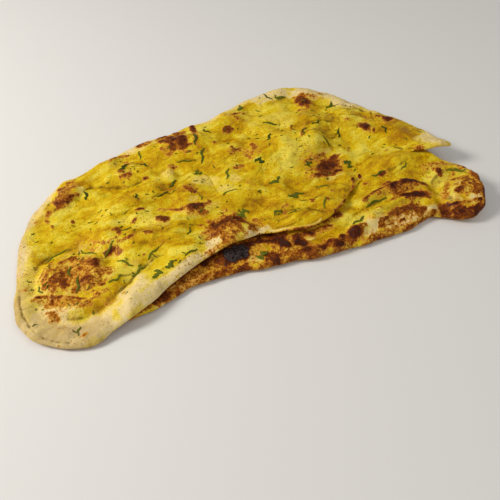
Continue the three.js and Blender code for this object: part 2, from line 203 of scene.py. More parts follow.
class Noise:
    """Smooth random numbers from -1 to 1 on a lattice that repeats, from one seed."""

    SIZE = 256
    # Each octave is turned, in radians, and moved, in mm, so that no two line up
    FIRST_TURN, TURN_STEP = 0.7, 1.9
    MOVE_X, MOVE_Y = 37.1, -51.7
    GAIN = 1.6

    def __init__(self, seed: int) -> None:
        """Draw the lattice."""
        self.lattice = np.random.default_rng(seed).uniform(-1, 1, (self.SIZE, self.SIZE))

    def at(self, x: Array, y: Array, size: float) -> Array:
        """Lattice values eased between the four corners of each cell.

        Args:
            x: Places along X in mm.
            y: Places along Y in mm.
            size: A cell's side in mm.

        Returns:
            The noise at each place.
        """
        across, up = x / size, y / size
        column, row = np.floor(across).astype(int), np.floor(up).astype(int)
        u, v = smooth(across - column), smooth(up - row)

        def corner(right: int, above: int) -> Array:
            """The lattice value at one corner of each cell."""
            return self.lattice[(row + above) % self.SIZE, (column + right) % self.SIZE]
        low = corner(0, 0) + (corner(1, 0) - corner(0, 0)) * u
        high = corner(0, 1) + (corner(1, 1) - corner(0, 1)) * u
        return low + (high - low) * v

    def layered(self, x: Array, y: Array, size: float, octaves: int = 3) -> Array:
        """Noise of halving size and weight added up, each octave turned and moved.

        Args:
            x: Places along X.
            y: Places along Y.
            size: The largest cell's side in mm.
            octaves: How many sizes are added up.

        Returns:
            The noise at each place.
        """
        result, weight, sum_of_weights = np.zeros_like(x), 1.0, 0.0
        for octave in range(octaves):
            turn = self.FIRST_TURN + self.TURN_STEP * octave
            turned_x = x * math.cos(turn) - y * math.sin(turn) + self.MOVE_X * octave
            turned_y = x * math.sin(turn) + y * math.cos(turn) + self.MOVE_Y * octave
            result = result + weight * self.at(turned_x, turned_y, size)
            sum_of_weights += weight
            size, weight = size * 0.5, weight * 0.5
        return result / sum_of_weights * self.GAIN


@dataclass(frozen=True)
class Outline:
    """The edge of a layer, walked from its left end along the front and along the back."""
    front_points: tuple[tuple[float, float], ...]
    back_points: tuple[tuple[float, float], ...]
    waves: tuple[tuple[int, float, float], ...] = ((13, 0.7, 0.4), (23, 0.5, 2.1), (41, 0.3, 4.0))
    samples: int = 14

    def sides(self) -> tuple[Array, Array]:
        """The front and the back edge as dense lines.

        A closed cubic curve through the points, whose slope at each is half the step
        between its neighbours, pushed out along its normal by a few sines.

        Returns:
            The front line and the back line, both from the left end to the right end.
        """
        ring = np.array(self.front_points + self.back_points[-2:0:-1], float)
        count = len(ring)
        t = np.arange(count * self.samples) / self.samples
        first = t.astype(int)
        part = (t - first)[:, None]
        before, here, after, beyond = (ring[(first + step) % count] for step in (-1, 0, 1, 2))
        point = 0.5 * (2 * here + (after - before) * part
                       + (2 * before - 5 * here + 4 * after - beyond) * part ** 2
                       + (beyond - before + 3 * here - 3 * after) * part ** 3)
        tangent = ((after - before) + 2 * (2 * before - 5 * here + 4 * after - beyond) * part
                   + 3 * (beyond - before + 3 * here - 3 * after) * part ** 2)
        tangent /= np.linalg.norm(tangent, axis=1, keepdims=True)
        push = sum(size * np.sin(2 * math.pi * times * t / count + phase)
                   for times, size, phase in self.waves)
        point = point + push[:, None] * np.stack([tangent[:, 1], -tangent[:, 0]], 1)
        corner = (len(self.front_points) - 1) * self.samples
        return point[:corner + 1], np.vstack([point[corner:], point[:1]])[::-1]

    def ring(self) -> Array:
        """The whole edge as one closed line."""
        front, back = self.sides()
        return np.vstack([front, back[-2::-1]])


def walk(line: Array, shares: Array) -> Array:
    """The points at shares of a line's length.

    Args:
        line: The line's points, one row each.
        shares: From 0 at its start to 1 at its end.

    Returns:
        The points, one row each.
    """
    steps = np.linalg.norm(np.diff(line, axis=0), axis=1)
    way = np.concatenate([[0.0], np.cumsum(steps)])
    wanted = shares * way[-1]
    return np.stack([np.interp(wanted, way, line[:, axis]) for axis in (0, 1)], -1)


def inside(x: Array, y: Array, ring: Array) -> Array:
    """Whether each point lies in a ring: a level ray from it crosses the ring oddly.

    Args:
        x: Places along X.
        y: Places along Y.
        ring: The closed line's points, one row each.

    Returns:
        True or false for each place.
    """
    odd = np.zeros(x.shape, bool)
    for (x0, y0), (x1, y1) in zip(ring[:-1], ring[1:]):
        if y0 != y1:
            odd ^= ((y0 > y) != (y1 > y)) & (x < x0 + (y - y0) / (y1 - y0) * (x1 - x0))
    return odd


def depth_inside(x: Array, y: Array, ring: Array) -> Array:
    """How far each point lies inside a ring, below zero outside it."""
    return distance_to_line(x, y, ring) * np.where(inside(x, y, ring), 1.0, -1.0)


FLAP_OUTLINE = Outline(
    front_points=(
        (-200, -64), (-198, -83), (-184, -103), (-162, -113), (-138, -110), (-112, -102),
        (-86, -88), (-58, -76), (-28, -71), (-4, -67), (20, -74), (44, -76), (66, -66), (86, -49),
        (106, -38), (132, -33), (153, -28), (168, -33.5), (183, -38), (197, -34)),
    back_points=(
        (-200, -64), (-197, -38), (-190, -8), (-179, 24), (-163, 46), (-146, 60), (-128, 66),
        (-106, 75), (-78, 84), (-50, 88), (-22, 94), (12, 97), (42, 108), (70, 116), (98, 114),
        (122, 104), (142, 85), (156, 62), (168, 38), (182, 14), (192, -11), (197, -34)))
LOWER_OUTLINE = Outline(
    front_points=(
        (-136, -78), (-130, -100), (-108, -102), (-80, -92), (-52, -91), (-24, -93), (4, -97),
        (32, -102), (62, -102), (92, -104), (118, -101), (137, -97), (153, -107), (170, -113),
        (186, -104), (196, -81)),
    back_points=(
        (-136, -78), (-132, -50), (-120, -20), (-98, 8), (-70, 32), (-38, 52), (-4, 66), (30, 80),
        (62, 92), (92, 88), (118, 72), (138, 50), (152, 24), (164, 0), (175, -24), (184, -46),
        (194, -60), (196, -81)))
FLAP_FRONT, FLAP_BACK = FLAP_OUTLINE.sides()
FLAP_RING = FLAP_OUTLINE.ring()
LOWER_RING = LOWER_OUTLINE.ring()

FLAP_FORMS: tuple[Blister | Fold, ...] = (
    Blister(-155, -49, 31, 27, -12, 5.5, 0.45), Blister(-163, -79, 27, 11, -8, 3.2, 0.8),
    Blister(-105, -34, 32, 17, -18, 2.8, 0.7), Blister(-130, 14, 52, 26, 22, -1.6, 0.9),
    Blister(-88, 50, 27, 17, -25, 5.0, 0.9), Blister(-51, 30, 11, 9, 0, 3.2, 1),
    Blister(-36, 72, 22, 11, 10, 5.0, 0.8), Blister(-142, 40, 20, 11, 38, 4.0, 0.8),
    Blister(76, 38, 66, 46, -14, 8.0, 0.75), Blister(70, 21, 36, 22, -18, 4.5, 0.6),
    Blister(152, 12, 32, 24, -30, 2.5, 0.9), Blister(34, -63, 22, 12, -12, 3.6, 0.8),
    Blister(-26, -56, 25, 17, -8, 6.5, 0.65), Blister(-46, -22, 15, 8, -18, 3.6, 0.9),
    Blister(-75, -21, 10, 7, 0, 1.6, 1), Blister(103, 79, 13, 10, -20, 2.4, 0.9),
    Blister(138, 18, 9, 8, 0, 1.5, 1), Blister(8, 46, 24, 15, 20, 2.6, 0.9),
    Blister(0, 4, 40, 20, -20, -1.8, 0.9), Blister(22, -40, 34, 14, -14, -2.0, 0.9),
    Fold((-184, -50), (-164, -20), (-124, -44), 4.5, -2.2),
    Fold((-172, -88), (-148, -94), (-116, -76), 5, -2.6),
    Fold((-116, -76), (-92, -60), (-66, -54), 6, -1.6), Fold((-118, 42), (-94, 32), (-60, 37), 5, -2.2),
    Fold((-108, 8), (-74, 6), (-30, 14), 8, 1.8), Fold((-92, -8), (-66, -12), (-34, -24), 6, 1.6),
    Fold((22, -13), (50, -22), (88, -35), 5, -3.0), Fold((52, -18), (70, -22), (92, -29), 4.5, 1.8),
    Fold((22, 62), (44, 52), (48, 12), 6, -2.2), Fold((102, 34), (116, 16), (112, -18), 7, -2.4),
    Fold((-60, -44), (-40, -40), (-8, -44), 5, -1.8), Fold((118, 76), (150, 40), (172, 2), 6, -1.4),
)
LOWER_FORMS: tuple[Blister | Fold, ...] = (
    Blister(142, -36, 46, 34, -20, 9.5, 1), Blister(174, -88, 25, 21, -10, 4.4, 0.5),
    Blister(67, -92, 12, 8, -15, 2.6, 0.8), Blister(47, -97, 9, 6, -10, 1.6, 0.9),
    Blister(28, -98, 9, 5, -5, 1.8, 0.9), Blister(11, -86, 16, 6, -16, 1.8, 0.9),
    Blister(-34, -79, 16, 6, -8, 1.4, 0.8), Blister(140, -95, 9, 8, 0, 2.4, 0.9),
    Blister(108, -45, 22, 12, -12, 2.2, 0.9), Fold((150, -75), (128, -58), (90, -66), 5.5, 5.6),
    Fold((146, -85), (122, -74), (88, -82), 4.5, 4.6), Fold((136, -92), (104, -86), (70, -90), 5.5, 4.0),
    Fold((158, -74), (156, -86), (152, -98), 6, -3.0),
    Fold((160, -64), (180, -61), (194, -78), 4.5, 3.2),
    Fold((160, -73), (176, -70), (188, -83), 3.5, -1.6),
    Fold((-110, -93), (-40, -84), (34, -92), 9, -1.6),
)


@dataclass(frozen=True)
class Dough:
    """The form of the whole bread: the same named sizes as its solid, in mm."""
    flap_thickness: float = 5.2
    lower_thickness: float = 6.8
    thinnest: float = 2.4
    sunk_share: float = 0.5
    rim_radius: float = 5.0
    rim_middle: float = 0.45
    fused_depth: float = 1.2
    support_fall: float = 26.0
    gap_depth: float = 17.0
    back_lift_depth: float = 48.0
    roll_distance: float = 9.0
    roll_width: float = 8.0
    knob_start: float = 138.0
    knob_length: float = 60.0
    knob_lift: float = 7.0
    lower_wave_share: float = 0.7
    hollow_offset: float = -0.9
    hollows: tuple[Wave, ...] = (Wave(170, 10, 1.3, 3.6), Wave(128, 100, 1.0, 4.2))
    waves: tuple[Wave, ...] = (
        Wave(118, 25, 0.8, 0.6), Wave(84, 118, 0.6, 2.0), Wave(57, 62, 0.5, 4.1),
        Wave(38, 160, 0.4, 1.2), Wave(29, 95, 0.3, 5.0))
    rumples: tuple[Wave, ...] = (
        Wave(46, 20, 0.5, 0.9), Wave(33, 128, 0.4, 2.7), Wave(25, 75, 0.25, 5.2))
    sway: tuple[tuple[float, float, float], ...] = ((97, 9, 0.4), (71, 7, 1.3))
    merge_depth: float = 30.0
    merged_thickness: float = 0.6
    thinning_depth: float = 20.0
    rest_spots: tuple[tuple[float, float], ...] = ((-168.0, 7.6), (117.9, 66.5), (128.7, -93.7))
    rest_reach: float = 20.0
    sole_height: float = 0.4
    edge_merge: tuple[tuple[float, float], ...] = (
        (-200, 0), (92, 0), (110, 1), (154, 1), (168, 0), (200, 0))
    edge_thinning: tuple[tuple[float, float], ...] = (
        (-100, 0), (-62, 0.2), (-20, 0.45), (90, 0.45), (200, 0.3))
    edge_gap: tuple[tuple[float, float], ...] = (
        (-200, 0), (-128, 0.4), (-96, 2.4), (-60, 3.4), (-26, 4.4), (10, 3.0), (52, 2.8),
        (84, 2.0), (112, 0.2), (150, 0), (168, 1.6), (186, 3.4), (200, 4.2))
    back_lift: tuple[tuple[float, float], ...] = (
        (-200, 0), (-150, 0), (-120, 2.4), (-60, 3.0), (0, 4.0), (60, 6.0), (110, 6.5),
        (160, 4.5), (186, 3.0), (200, 2.5))
    front_roll: tuple[tuple[float, float], ...] = (
        (-200, 1.6), (-150, 2.6), (-96, 3.2), (-60, 1.2), (0, 0.2), (100, 0), (160, 0), (200, 0.4))
    back_roll: tuple[tuple[float, float], ...] = (
        (-200, 1.6), (-150, 1.4), (-96, 1.6), (-60, 1.4), (0, 1.0), (100, 1.8), (160, 1.2),
        (200, 0.4))

    @staticmethod
    def along(table: tuple[tuple[float, float], ...], x: Array) -> Array:
        """Read a short table of x and values, straight between its rows."""
        return np.interp(x, [row[0] for row in table], [row[1] for row in table])

    def table_face(self, x: Array, y: Array) -> Array:
        """The underside: a sole with low spots and shallow hollows, and the knob's lift.

        Args:
            x: Places along X.
            y: Places along Y.

        Returns:
            Its height over the table.
        """
        lift = self.knob_lift * smooth((x - self.knob_start) / self.knob_length)
        spot = np.min([np.hypot(x - rest_x, y - rest_y)
                       for rest_x, rest_y in self.rest_spots], axis=0)
        hollow = np.maximum(0.0, total(self.hollows, x, y) + self.hollow_offset)
        return (self.sole_height + hollow) * smooth(spot / self.rest_reach) + lift

    def swell(self, x: Array, y: Array) -> Array:
        """The relief that all the bread shares: broad waves and rumples with swaying crests.

        Args:
            x: Places along X.
            y: Places along Y.

        Returns:
            Its height.
        """
        (length_x, size_x, phase_x), (length_y, size_y, phase_y) = self.sway
        sway_x = size_x * np.sin(2 * math.pi * y / length_x + phase_x)
        sway_y = size_y * np.sin(2 * math.pi * x / length_y + phase_y)
        return total(self.waves, x, y) + total(self.rumples, x + sway_x, y + sway_y)

    def lower_top(self, x: Array, y: Array) -> Array:
        """The top of the lower layer: its thickness, its forms and the broad waves.

        Args:
            x: Places along X.
            y: Places along Y.

        Returns:
            Its height over the table.
        """
        body = (self.lower_thickness + total(LOWER_FORMS, x, y)
                + self.lower_wave_share * self.swell(x, y))
        return self.table_face(x, y) + np.maximum(self.thinnest, body)

    def flap_seat(self, x: Array, y: Array) -> Array:
        """The face that the flap lies on: the table or the lower layer, off it at its edges.

        Args:
            x: Places along X.
            y: Places along Y.

        Returns:
            Its height over the table.
        """
        table = self.table_face(x, y)
        carried = smooth(depth_inside(x, y, LOWER_RING) / self.support_fall + 1)
        parting = (smooth(1 - distance_to_line(x, y, FLAP_FRONT) / self.gap_depth)
                   * (1 - self.along(self.edge_merge, x)))
        curl = smooth(1 - distance_to_line(x, y, FLAP_BACK) / self.back_lift_depth)
        above = self.lower_top(x, y) - self.fused_depth * (1 - parting) - table
        return (table + above * carried + self.along(self.edge_gap, x) * parting
                + self.along(self.back_lift, x) * curl)

    def flap_under(self, x: Array, y: Array) -> Array:
        """The flap's underside, which sinks into the lower layer away from the edges.

        Args:
            x: Places along X.
            y: Places along Y.

        Returns:
            Its height over the table.
        """
        seat, table = self.flap_seat(x, y), self.table_face(x, y)
        edge = smooth(1 - distance_to_line(x, y, FLAP_RING) / self.gap_depth)
        over = smooth(depth_inside(x, y, LOWER_RING) / self.rim_radius)
        sunk = np.minimum(seat, table + self.lower_thickness * self.sunk_share)
        return seat + (sunk - seat) * over * (1 - edge)

    def rim_roll(self, x: Array, y: Array) -> Array:
        """The roll of the flap's rim: a bell curve round a line inside each edge.

        Args:
            x: Places along X.
            y: Places along Y.

        Returns:
            Its height.
        """
        def hill(side: Array) -> Array:
            """The bell curve inside one edge, 1 at its crest."""
            return np.exp(-((distance_to_line(x, y, side) - self.roll_distance)
                            / self.roll_width) ** 2)
        return np.maximum(self.along(self.front_roll, x) * hill(FLAP_FRONT),
                          self.along(self.back_roll, x) * hill(FLAP_BACK))

    def flap_top(self, x: Array, y: Array) -> Array:
        """The top of the flap: thickness, forms, swell and roll, thinned or merged in front.

        Args:
            x: Places along X.
            y: Places along Y.

        Returns:
            Its height over the table.
        """
        body = (self.flap_thickness + total(FLAP_FORMS, x, y) + self.swell(x, y)
                + self.rim_roll(x, y))
        edge = distance_to_line(x, y, FLAP_FRONT)
        thinned = body * (1 - self.along(self.edge_thinning, x) * smooth(1 - edge / self.thinning_depth))
        merged = 1 - self.along(self.edge_merge, x) * smooth(1 - edge / self.merge_depth)
        height = np.maximum(self.thinnest, thinned) * merged
        return self.flap_seat(x, y) + np.maximum(self.merged_thickness, height)


DOUGH = Dough()


@dataclass(frozen=True)
class Rows:
    """Rows of points between the edges of a face: steps in mm from the front and the back."""
    front: tuple[float, ...]
    back: tuple[float, ...]
    middle: int
    crowding: float = 1.0
    widest_rims: float = 0.8

    def shares(self, width: Array) -> Array:
        """Where the rows cross columns of given widths, as shares of each.

        Args:
            width: The length of each column in mm.

        Returns:
            One row of shares for each column, from 0 at the front to 1 at the back.
        """
        reach = self.front[-1] + self.back[-1]
        scale = (np.minimum(1.0, width * self.widest_rims / reach) / width)[:, None]
        start, end = self.front[-1] * scale, 1 - self.back[-1] * scale
        between = (np.arange(1, self.middle + 1) / (self.middle + 1)) ** self.crowding
        return np.hstack([np.array(self.front) * scale, start + (end - start) * between,
                          1 - np.array(self.back[::-1]) * scale])


def rim_steps(count: int) -> tuple[float, ...]:
    """Steps in from an edge that cut its quarter round into equal turns."""
    return tuple(DOUGH.rim_radius * (1 - math.cos(math.pi / 2 * step / count))
                 for step in range(count + 1))


@dataclass
class Shell:
    """A closed surface of bread: points in mm, faces, and what its finish reads."""
    points: Array
    faces: list[Array]
    traits: dict[str, Array]


def columns_and_rows(outline: Outline, columns: int, rows: dict[Face, Rows]
                     ) -> tuple[Array, Array, list[Array]]:
    """Lay points between the two edges of an outline, for both faces.

    Column i joins the points at share i / columns of the front and of the back edge. The
    faces share those points and the two end points.

    Args:
        outline: The layer's edge.
        columns: How many steps there are from end to end.
        rows: The rows of each face.

    Returns:
        The places in X and Y, which face each belongs to (0 on the edge), and the faces
        as index arrays.
    """
    front, back = outline.sides()
    shares = np.arange(1, columns) / columns
    near, far = walk(front, shares), walk(back, shares)
    count = columns - 1
    places = [front[:1], front[-1:], near, far]
    sides = [np.zeros(2 + 2 * count)]
    faces: list[Array] = []
    used = 2 + 2 * count
    for face, face_rows in rows.items():
        inner = face_rows.shares(np.linalg.norm(far - near, axis=1))[:, 1:-1]
        grid_points = near[:, None] + (far - near)[:, None] * inner[..., None]
        ids = used + np.arange(count * inner.shape[1]).reshape(count, -1)
        grid = np.hstack([2 + np.arange(count)[:, None], ids,
                          2 + count + np.arange(count)[:, None]])
        used += ids.size
        places.append(grid_points.reshape(-1, 2))
        sides.append(np.full(ids.size, face.value, float))
        quads = np.stack([grid[:-1, :-1], grid[1:, :-1], grid[1:, 1:], grid[:-1, 1:]], -1)
        left = np.stack([np.zeros_like(grid[0, 1:]), grid[0, :-1], grid[0, 1:]], -1)
        right = np.stack([np.ones_like(grid[-1, 1:]), grid[-1, 1:], grid[-1, :-1]], -1)
        for block in (quads.reshape(-1, 4), left, right):
            faces.append(block if face is Face.TOP else block[:, ::-1])
    return np.vstack(places), np.concatenate(sides), faces


def make_object(name: str, shell: Shell, material: bpy.types.Material) -> bpy.types.Object:
    """Put a shell's points, faces and traits into a smooth mesh object.

    Args:
        name: The piece's name.
        shell: The surface, in mm.
        material: Its finish.

    Returns:
        The object, at the origin, in metres.
    """
    mesh = bpy.data.meshes.new(name)
    sizes = np.concatenate([np.full(len(block), block.shape[1]) for block in shell.faces])
    corners = np.concatenate([block.reshape(-1) for block in shell.faces])
    mesh.vertices.add(len(shell.points))
    mesh.vertices.foreach_set("co", (shell.points * MM).astype(np.float32).reshape(-1))
    mesh.loops.add(len(corners))
    mesh.loops.foreach_set("vertex_index", corners.astype(np.int32))
    mesh.polygons.add(len(sizes))
    starts = np.concatenate([[0], np.cumsum(sizes)[:-1]])
    mesh.polygons.foreach_set("loop_start", starts.astype(np.int32))
    mesh.update(calc_edges=True)
    mesh.polygons.foreach_set("use_smooth", np.ones(len(sizes), bool))
    for trait, values in shell.traits.items():
        layer = mesh.attributes.new(trait, "FLOAT", "POINT")
        layer.data.foreach_set("value", values.astype(np.float32))
    mesh.materials.append(material)
    piece = bpy.data.objects.new(name, mesh)
    bpy.context.collection.objects.link(piece)
    return piece


def join_to_frame(piece: bpy.types.Object) -> None:
    """Let a piece ride on the bread's body and stand for its node.

    Args:
        piece: The finished piece.
    """
    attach(piece, BODY)
    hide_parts(NODE)


# The bread's skin: toasting, dry dough, deep and thin butter, painted shade and shadow, and fine relief
@dataclass(frozen=True)
class Patch:
    """A patch of finish: an oval in mm, turned in degrees, how full it is and how ragged.

    Its border ends a little outside the oval and is nearly as wide as the oval's radius.
    """
    BORDER_END: ClassVar[float] = 1.3
    BORDER_WIDTH: ClassVar[float] = 0.85
    x: float
    y: float
    half_length: float
    half_width: float
    turn: float
    full: float
    ragged: float = 0.8

    def depth(self, x: Array, y: Array, noise: Array) -> Array:
        """Fullness times the ease in from a border that noise makes ragged.

        Args:
            x: Places along X.
            y: Places along Y.
            noise: What moves the border at each place.

        Returns:
            How full the finish is at each place.
        """
        oval = Blister(self.x, self.y, self.half_length, self.half_width, self.turn, 1, 1)
        inward = self.BORDER_END - oval.radius(x, y) + self.ragged * noise
        return self.full * smooth(inward / self.BORDER_WIDTH)


@dataclass(frozen=True)
class Stroke:
    """A thin line of finish along a parabola: its half width in mm and how full it is."""
    EVEN_SHARE: ClassVar[float] = 0.8
    BROKEN_SHARE: ClassVar[float] = 0.6
    start: tuple[float, float]
    middle: tuple[float, float]
    end: tuple[float, float]
    width: float
    full: float

    def depth(self, x: Array, y: Array, noise: Array) -> Array:
        """Fullness times the nearness to the line, broken up by noise."""
        near = Fold(self.start, self.middle, self.end, self.width, 1.0).near(x, y)
        return self.full * near * (self.EVEN_SHARE + self.BROKEN_SHARE * noise)


Mark = Patch | Stroke

FLAP_TOAST: tuple[Mark, ...] = (
    # The lobe at the left end, its toasted middle and its terrace
    Patch(-154, -51, 30, 22, -4, 0.46, 0.7), Patch(-167, -52, 13, 14, -10, 0.66, 0.9),
    Patch(-168, -48, 10, 9, 10, 0.7, 1.0), Patch(-163, -57, 11, 6, -14, 0.68, 1.0),
    Patch(-158, -41, 9, 4, 12, 0.6, 1.0), Patch(-152, -32, 6, 4, 12, 0.68),
    Patch(-168, -30, 2.4, 5, -8, 0.46), Patch(-136, -48, 4.2, 6.5, -14, 0.86, 0.6),
    Patch(-145, -63, 7.5, 4.2, 0, 0.68), Patch(-127, -57, 3, 7, -10, 0.44),
    Patch(-147, -48, 6, 9, -30, 0.52, 1.0), Patch(-172, -68, 10, 5, -20, 0.42),
    Patch(-163, -75, 13, 6, -30, 0.44), Patch(-153, -81, 13, 4, -4, 0.4),
    Stroke((-183, -60), (-168, -66), (-149, -77), 1.5, 0.95),
    Stroke((-181, -64), (-166, -70), (-146, -80), 3.4, 0.4),
    Stroke((-178, -72), (-163, -78), (-146, -83), 1.6, 0.5), Patch(-175, -84, 5, 7, 14, 0.38),
    Patch(-157, -107, 3, 1.6, 20, 0.66, 0.6), Patch(-135, -70, 3, 1.6, 20, 0.7, 0.6),
    Patch(-143, -69, 6, 2, 10, 0.46, 0.9), Patch(-186, -62, 3, 2, 0, 0.36, 0.9),
    Patch(-150, -78, 24, 9, -4, 0.26),
    # Spots between the lobe and the middle
    Stroke((-134, -20), (-130, -26), (-125, -31), 1.6, 0.56), Patch(-123, -39, 5, 2.2, 6, 0.84, 0.6),
    Patch(-116, -43, 3.4, 4.6, -20, 0.52), Patch(-113, -18, 4.4, 2.8, 30, 0.68, 0.7),
    Patch(-111, -24, 2.2, 7, 4, 0.72, 0.6), Patch(-118, -31, 6, 2, 10, 0.54),
    Patch(-103, -34, 4, 2.6, 10, 0.84, 0.5), Patch(-110, -34, 6, 2.2, 0, 0.5),
    Patch(-91, -34, 5, 2.6, -16, 0.66, 0.7), Patch(-97, -13, 4, 1.8, 10, 0.44),
    Patch(-88, -3, 4, 1.7, 0, 0.96, 0.6), Patch(-74, -21, 7, 5.2, -34, 0.9, 0.4),
    Patch(-45, -18.5, 12.5, 7.4, -6, 0.98, 0.35), Patch(-42, -26, 7, 4, -30, 0.5),
    Stroke((-73, -7), (-64, -11), (-55, -19), 2.0, 0.84), Patch(-40, -33, 2.4, 4.6, 20, 0.58, 0.7),
    Patch(-46, -37, 2.6, 1.6, 0, 0.56, 0.6), Patch(-43, 6, 7, 4.6, -40, 0.56, 0.9),
    Patch(-36, 4, 2.4, 2, 0, 0.56, 0.7), Patch(-47, 41, 5, 3.8, -10, 0.66, 0.5),
    Patch(-22, -32, 3.4, 1.6, -30, 0.5), Patch(-32, -17, 1.6, 4.5, 6, 0.66),
    Patch(-160, 12, 1.7, 2.2, 0, 0.7, 0.4), Patch(-143, 11, 1.7, 2.3, 10, 0.62, 0.4),
    Patch(-172, 22, 2.6, 1.7, 0, 0.5, 0.6), Patch(-99, -54, 1.7, 1.7, 0, 0.6, 0.4),
    Patch(0, 57, 2, 1.7, 0, 0.66, 0.5),
    # The back edge at the left and in the middle
    Patch(-146, 37, 10, 6, 36, 0.66, 0.7), Patch(-139, 36, 8, 2.4, 30, 0.76, 0.6),
    Patch(-139, 51, 13, 8, 62, 0.4), Patch(-158, 27, 4, 5.5, -30, 0.44, 0.9),
    Patch(-162, 18, 2.6, 3.4, 0, 0.5), Patch(-87, 45, 6.5, 4, 0, 0.6),
    Patch(-91, 51, 6, 4, 30, 0.44, 0.9), Patch(-82, 64, 5, 7, 20, 0.42, 0.9),
    Stroke((-97, 69), (-89, 75), (-79, 73), 1.7, 0.5), Patch(-73, 36, 2.6, 2.4, 0, 0.9, 0.4),
    Patch(-34, 74, 15, 16, 10, 0.72, 0.6), Patch(-29, 71, 8, 12, 15, 0.96, 0.5),
    Patch(-42, 86, 8, 5, 12, 0.7), Patch(-43, 78, 5, 8, -10, 0.78, 0.7),
    Patch(-34, 82, 11, 7, 0, 0.82, 0.7), Patch(-62, 82, 8, 5, 0, 0.44, 0.9),
    Patch(-28, 60, 11, 4, 4, 0.74, 0.7), Patch(-30, 67, 12, 6, 0, 0.56, 0.9),
    Patch(-42, 65, 8, 6, 0, 0.4, 0.9), Patch(-44, 57, 3, 5, 30, 0.5),
    Patch(-12, 84, 3.4, 9, -8, 0.92, 0.5), Stroke((-17, 58), (-14, 70), (-11, 88), 1.8, 0.62),
    Patch(-27, 52, 4.5, 2, -14, 0.7, 0.7),
    # The burnt dome at the front edge
    Patch(-28, -48, 21, 12, 6, 0.72, 0.5), Patch(-25, -45, 16, 8, 4, 1.0, 0.6),
    Patch(-9, -57, 9, 6, 30, 0.44), Patch(-34, -54, 12, 5, 20, 0.7), Patch(-17, -50, 7, 7, 20, 0.9, 0.7),
    Patch(-39, -52, 6, 5, 40, 0.62, 0.7), Patch(-28, -62, 14, 7, 10, 0.4, 0.9),
    Patch(-50, -72, 9, 4, 18, 0.3, 0.9), Patch(-2, -50, 2.4, 9, 24, 0.5),
    Patch(-8, -54, 9, 6, 0, 0.5, 0.7), Patch(-36, -69, 9, 3, 4, 0.4, 0.9),
    # The triangular char
    Patch(83, -13, 16, 10, 16, 0.84, 0.4), Patch(86, -9, 12, 8, 24, 1.0, 0.5),
    Patch(79, -18, 12, 6, -2, 0.84, 0.4), Patch(91, -4, 10, 4.6, 12, 0.88, 0.5),
    Patch(73, -19.5, 14, 3.6, -6, 0.82, 0.4), Patch(88, -18, 7, 4, -30, 0.86, 0.5),
    Patch(67, -12, 8, 5, 30, 0.36, 0.9), Patch(74, 1, 10, 2.4, 4, 0.44, 0.9),
    Patch(83, 2.4, 5, 1.8, 4, 0.56, 0.7),
    # Spots at the right
    Patch(104, 83, 7.5, 12, -4, 0.84, 0.4), Patch(105, 80, 5, 8, 0, 0.98, 0.5),
    Patch(97, 69, 4, 9, -34, 0.52), Patch(124, 87, 5, 3, -10, 0.42),
    Patch(116, 86, 12, 9, -20, 0.18, 0.9), Patch(114, 84, 6, 5, 0, 0.34, 0.9),
    Patch(139.5, 21, 5.8, 7.6, 0, 0.96, 0.4), Patch(164, 24, 5, 7, 30, 0.84, 0.6),
    Patch(160, 31, 4, 3, 0, 0.56), Patch(160, 17, 3, 3.4, 0, 0.46),
    Patch(150, 38, 2, 3.4, -10, 0.56, 0.7), Patch(145, 14, 2.4, 4, -20, 0.52),
    Patch(18, 71, 5.4, 4.2, 0, 0.68, 0.7), Stroke((29, 86), (35, 89.5), (42, 88), 1.5, 0.66),
    Patch(33, 82, 4, 3, 0, 0.36, 0.9), Patch(13, 38, 7, 4, -4, 0.5, 0.9),
    Patch(22, 36, 2.2, 2, 0, 0.76, 0.6), Patch(31, 35, 3, 7, 10, 0.5, 0.9),
    Patch(25, 29, 9, 9, 0, 0.32, 0.9), Patch(7, 16, 5.4, 4, 0, 0.56, 0.7),
    Stroke((75, 26), (80, 34), (85, 41), 1.7, 0.62), Stroke((71, 38), (72, 42), (73.5, 46), 1.1, 0.5),
    Patch(70, -45, 3.6, 1.8, 0, 0.56, 0.7), Patch(49, -49, 2.2, 2.4, 0, 0.68, 0.6),
    Patch(61, -53, 1.4, 1.9, 0, 0.7, 0.5), Patch(24, -45, 4, 2.4, 0, 0.42, 0.9),
    Patch(22, -53, 1.8, 5, -20, 0.56), Patch(8, -8, 3, 2, 0, 0.4), Patch(112, 3, 8, 1.6, 60, 0.34),
    Stroke((133, -32.5), (137, -30.5), (140, -30), 1.6, 0.95), Patch(164, -31, 5, 3.6, 0, 0.6, 0.7),
    Patch(95, -37, 1.9, 4.6, -40, 0.84, 0.6), Patch(104, -34, 1.8, 3.4, -30, 0.88, 0.6),
    Stroke((60, -69), (78, -57), (92, -44), 1.6, 0.7),
    Stroke((-8, -68), (14, -73.6), (34, -77), 1.8, 0.8),
    Stroke((34, -77), (52, -75), (66, -66.5), 1.8, 0.74), Patch(128, 38, 4, 2, 0, 0.4),
    Patch(142, -15, 4, 1.8, 30, 0.4),
)
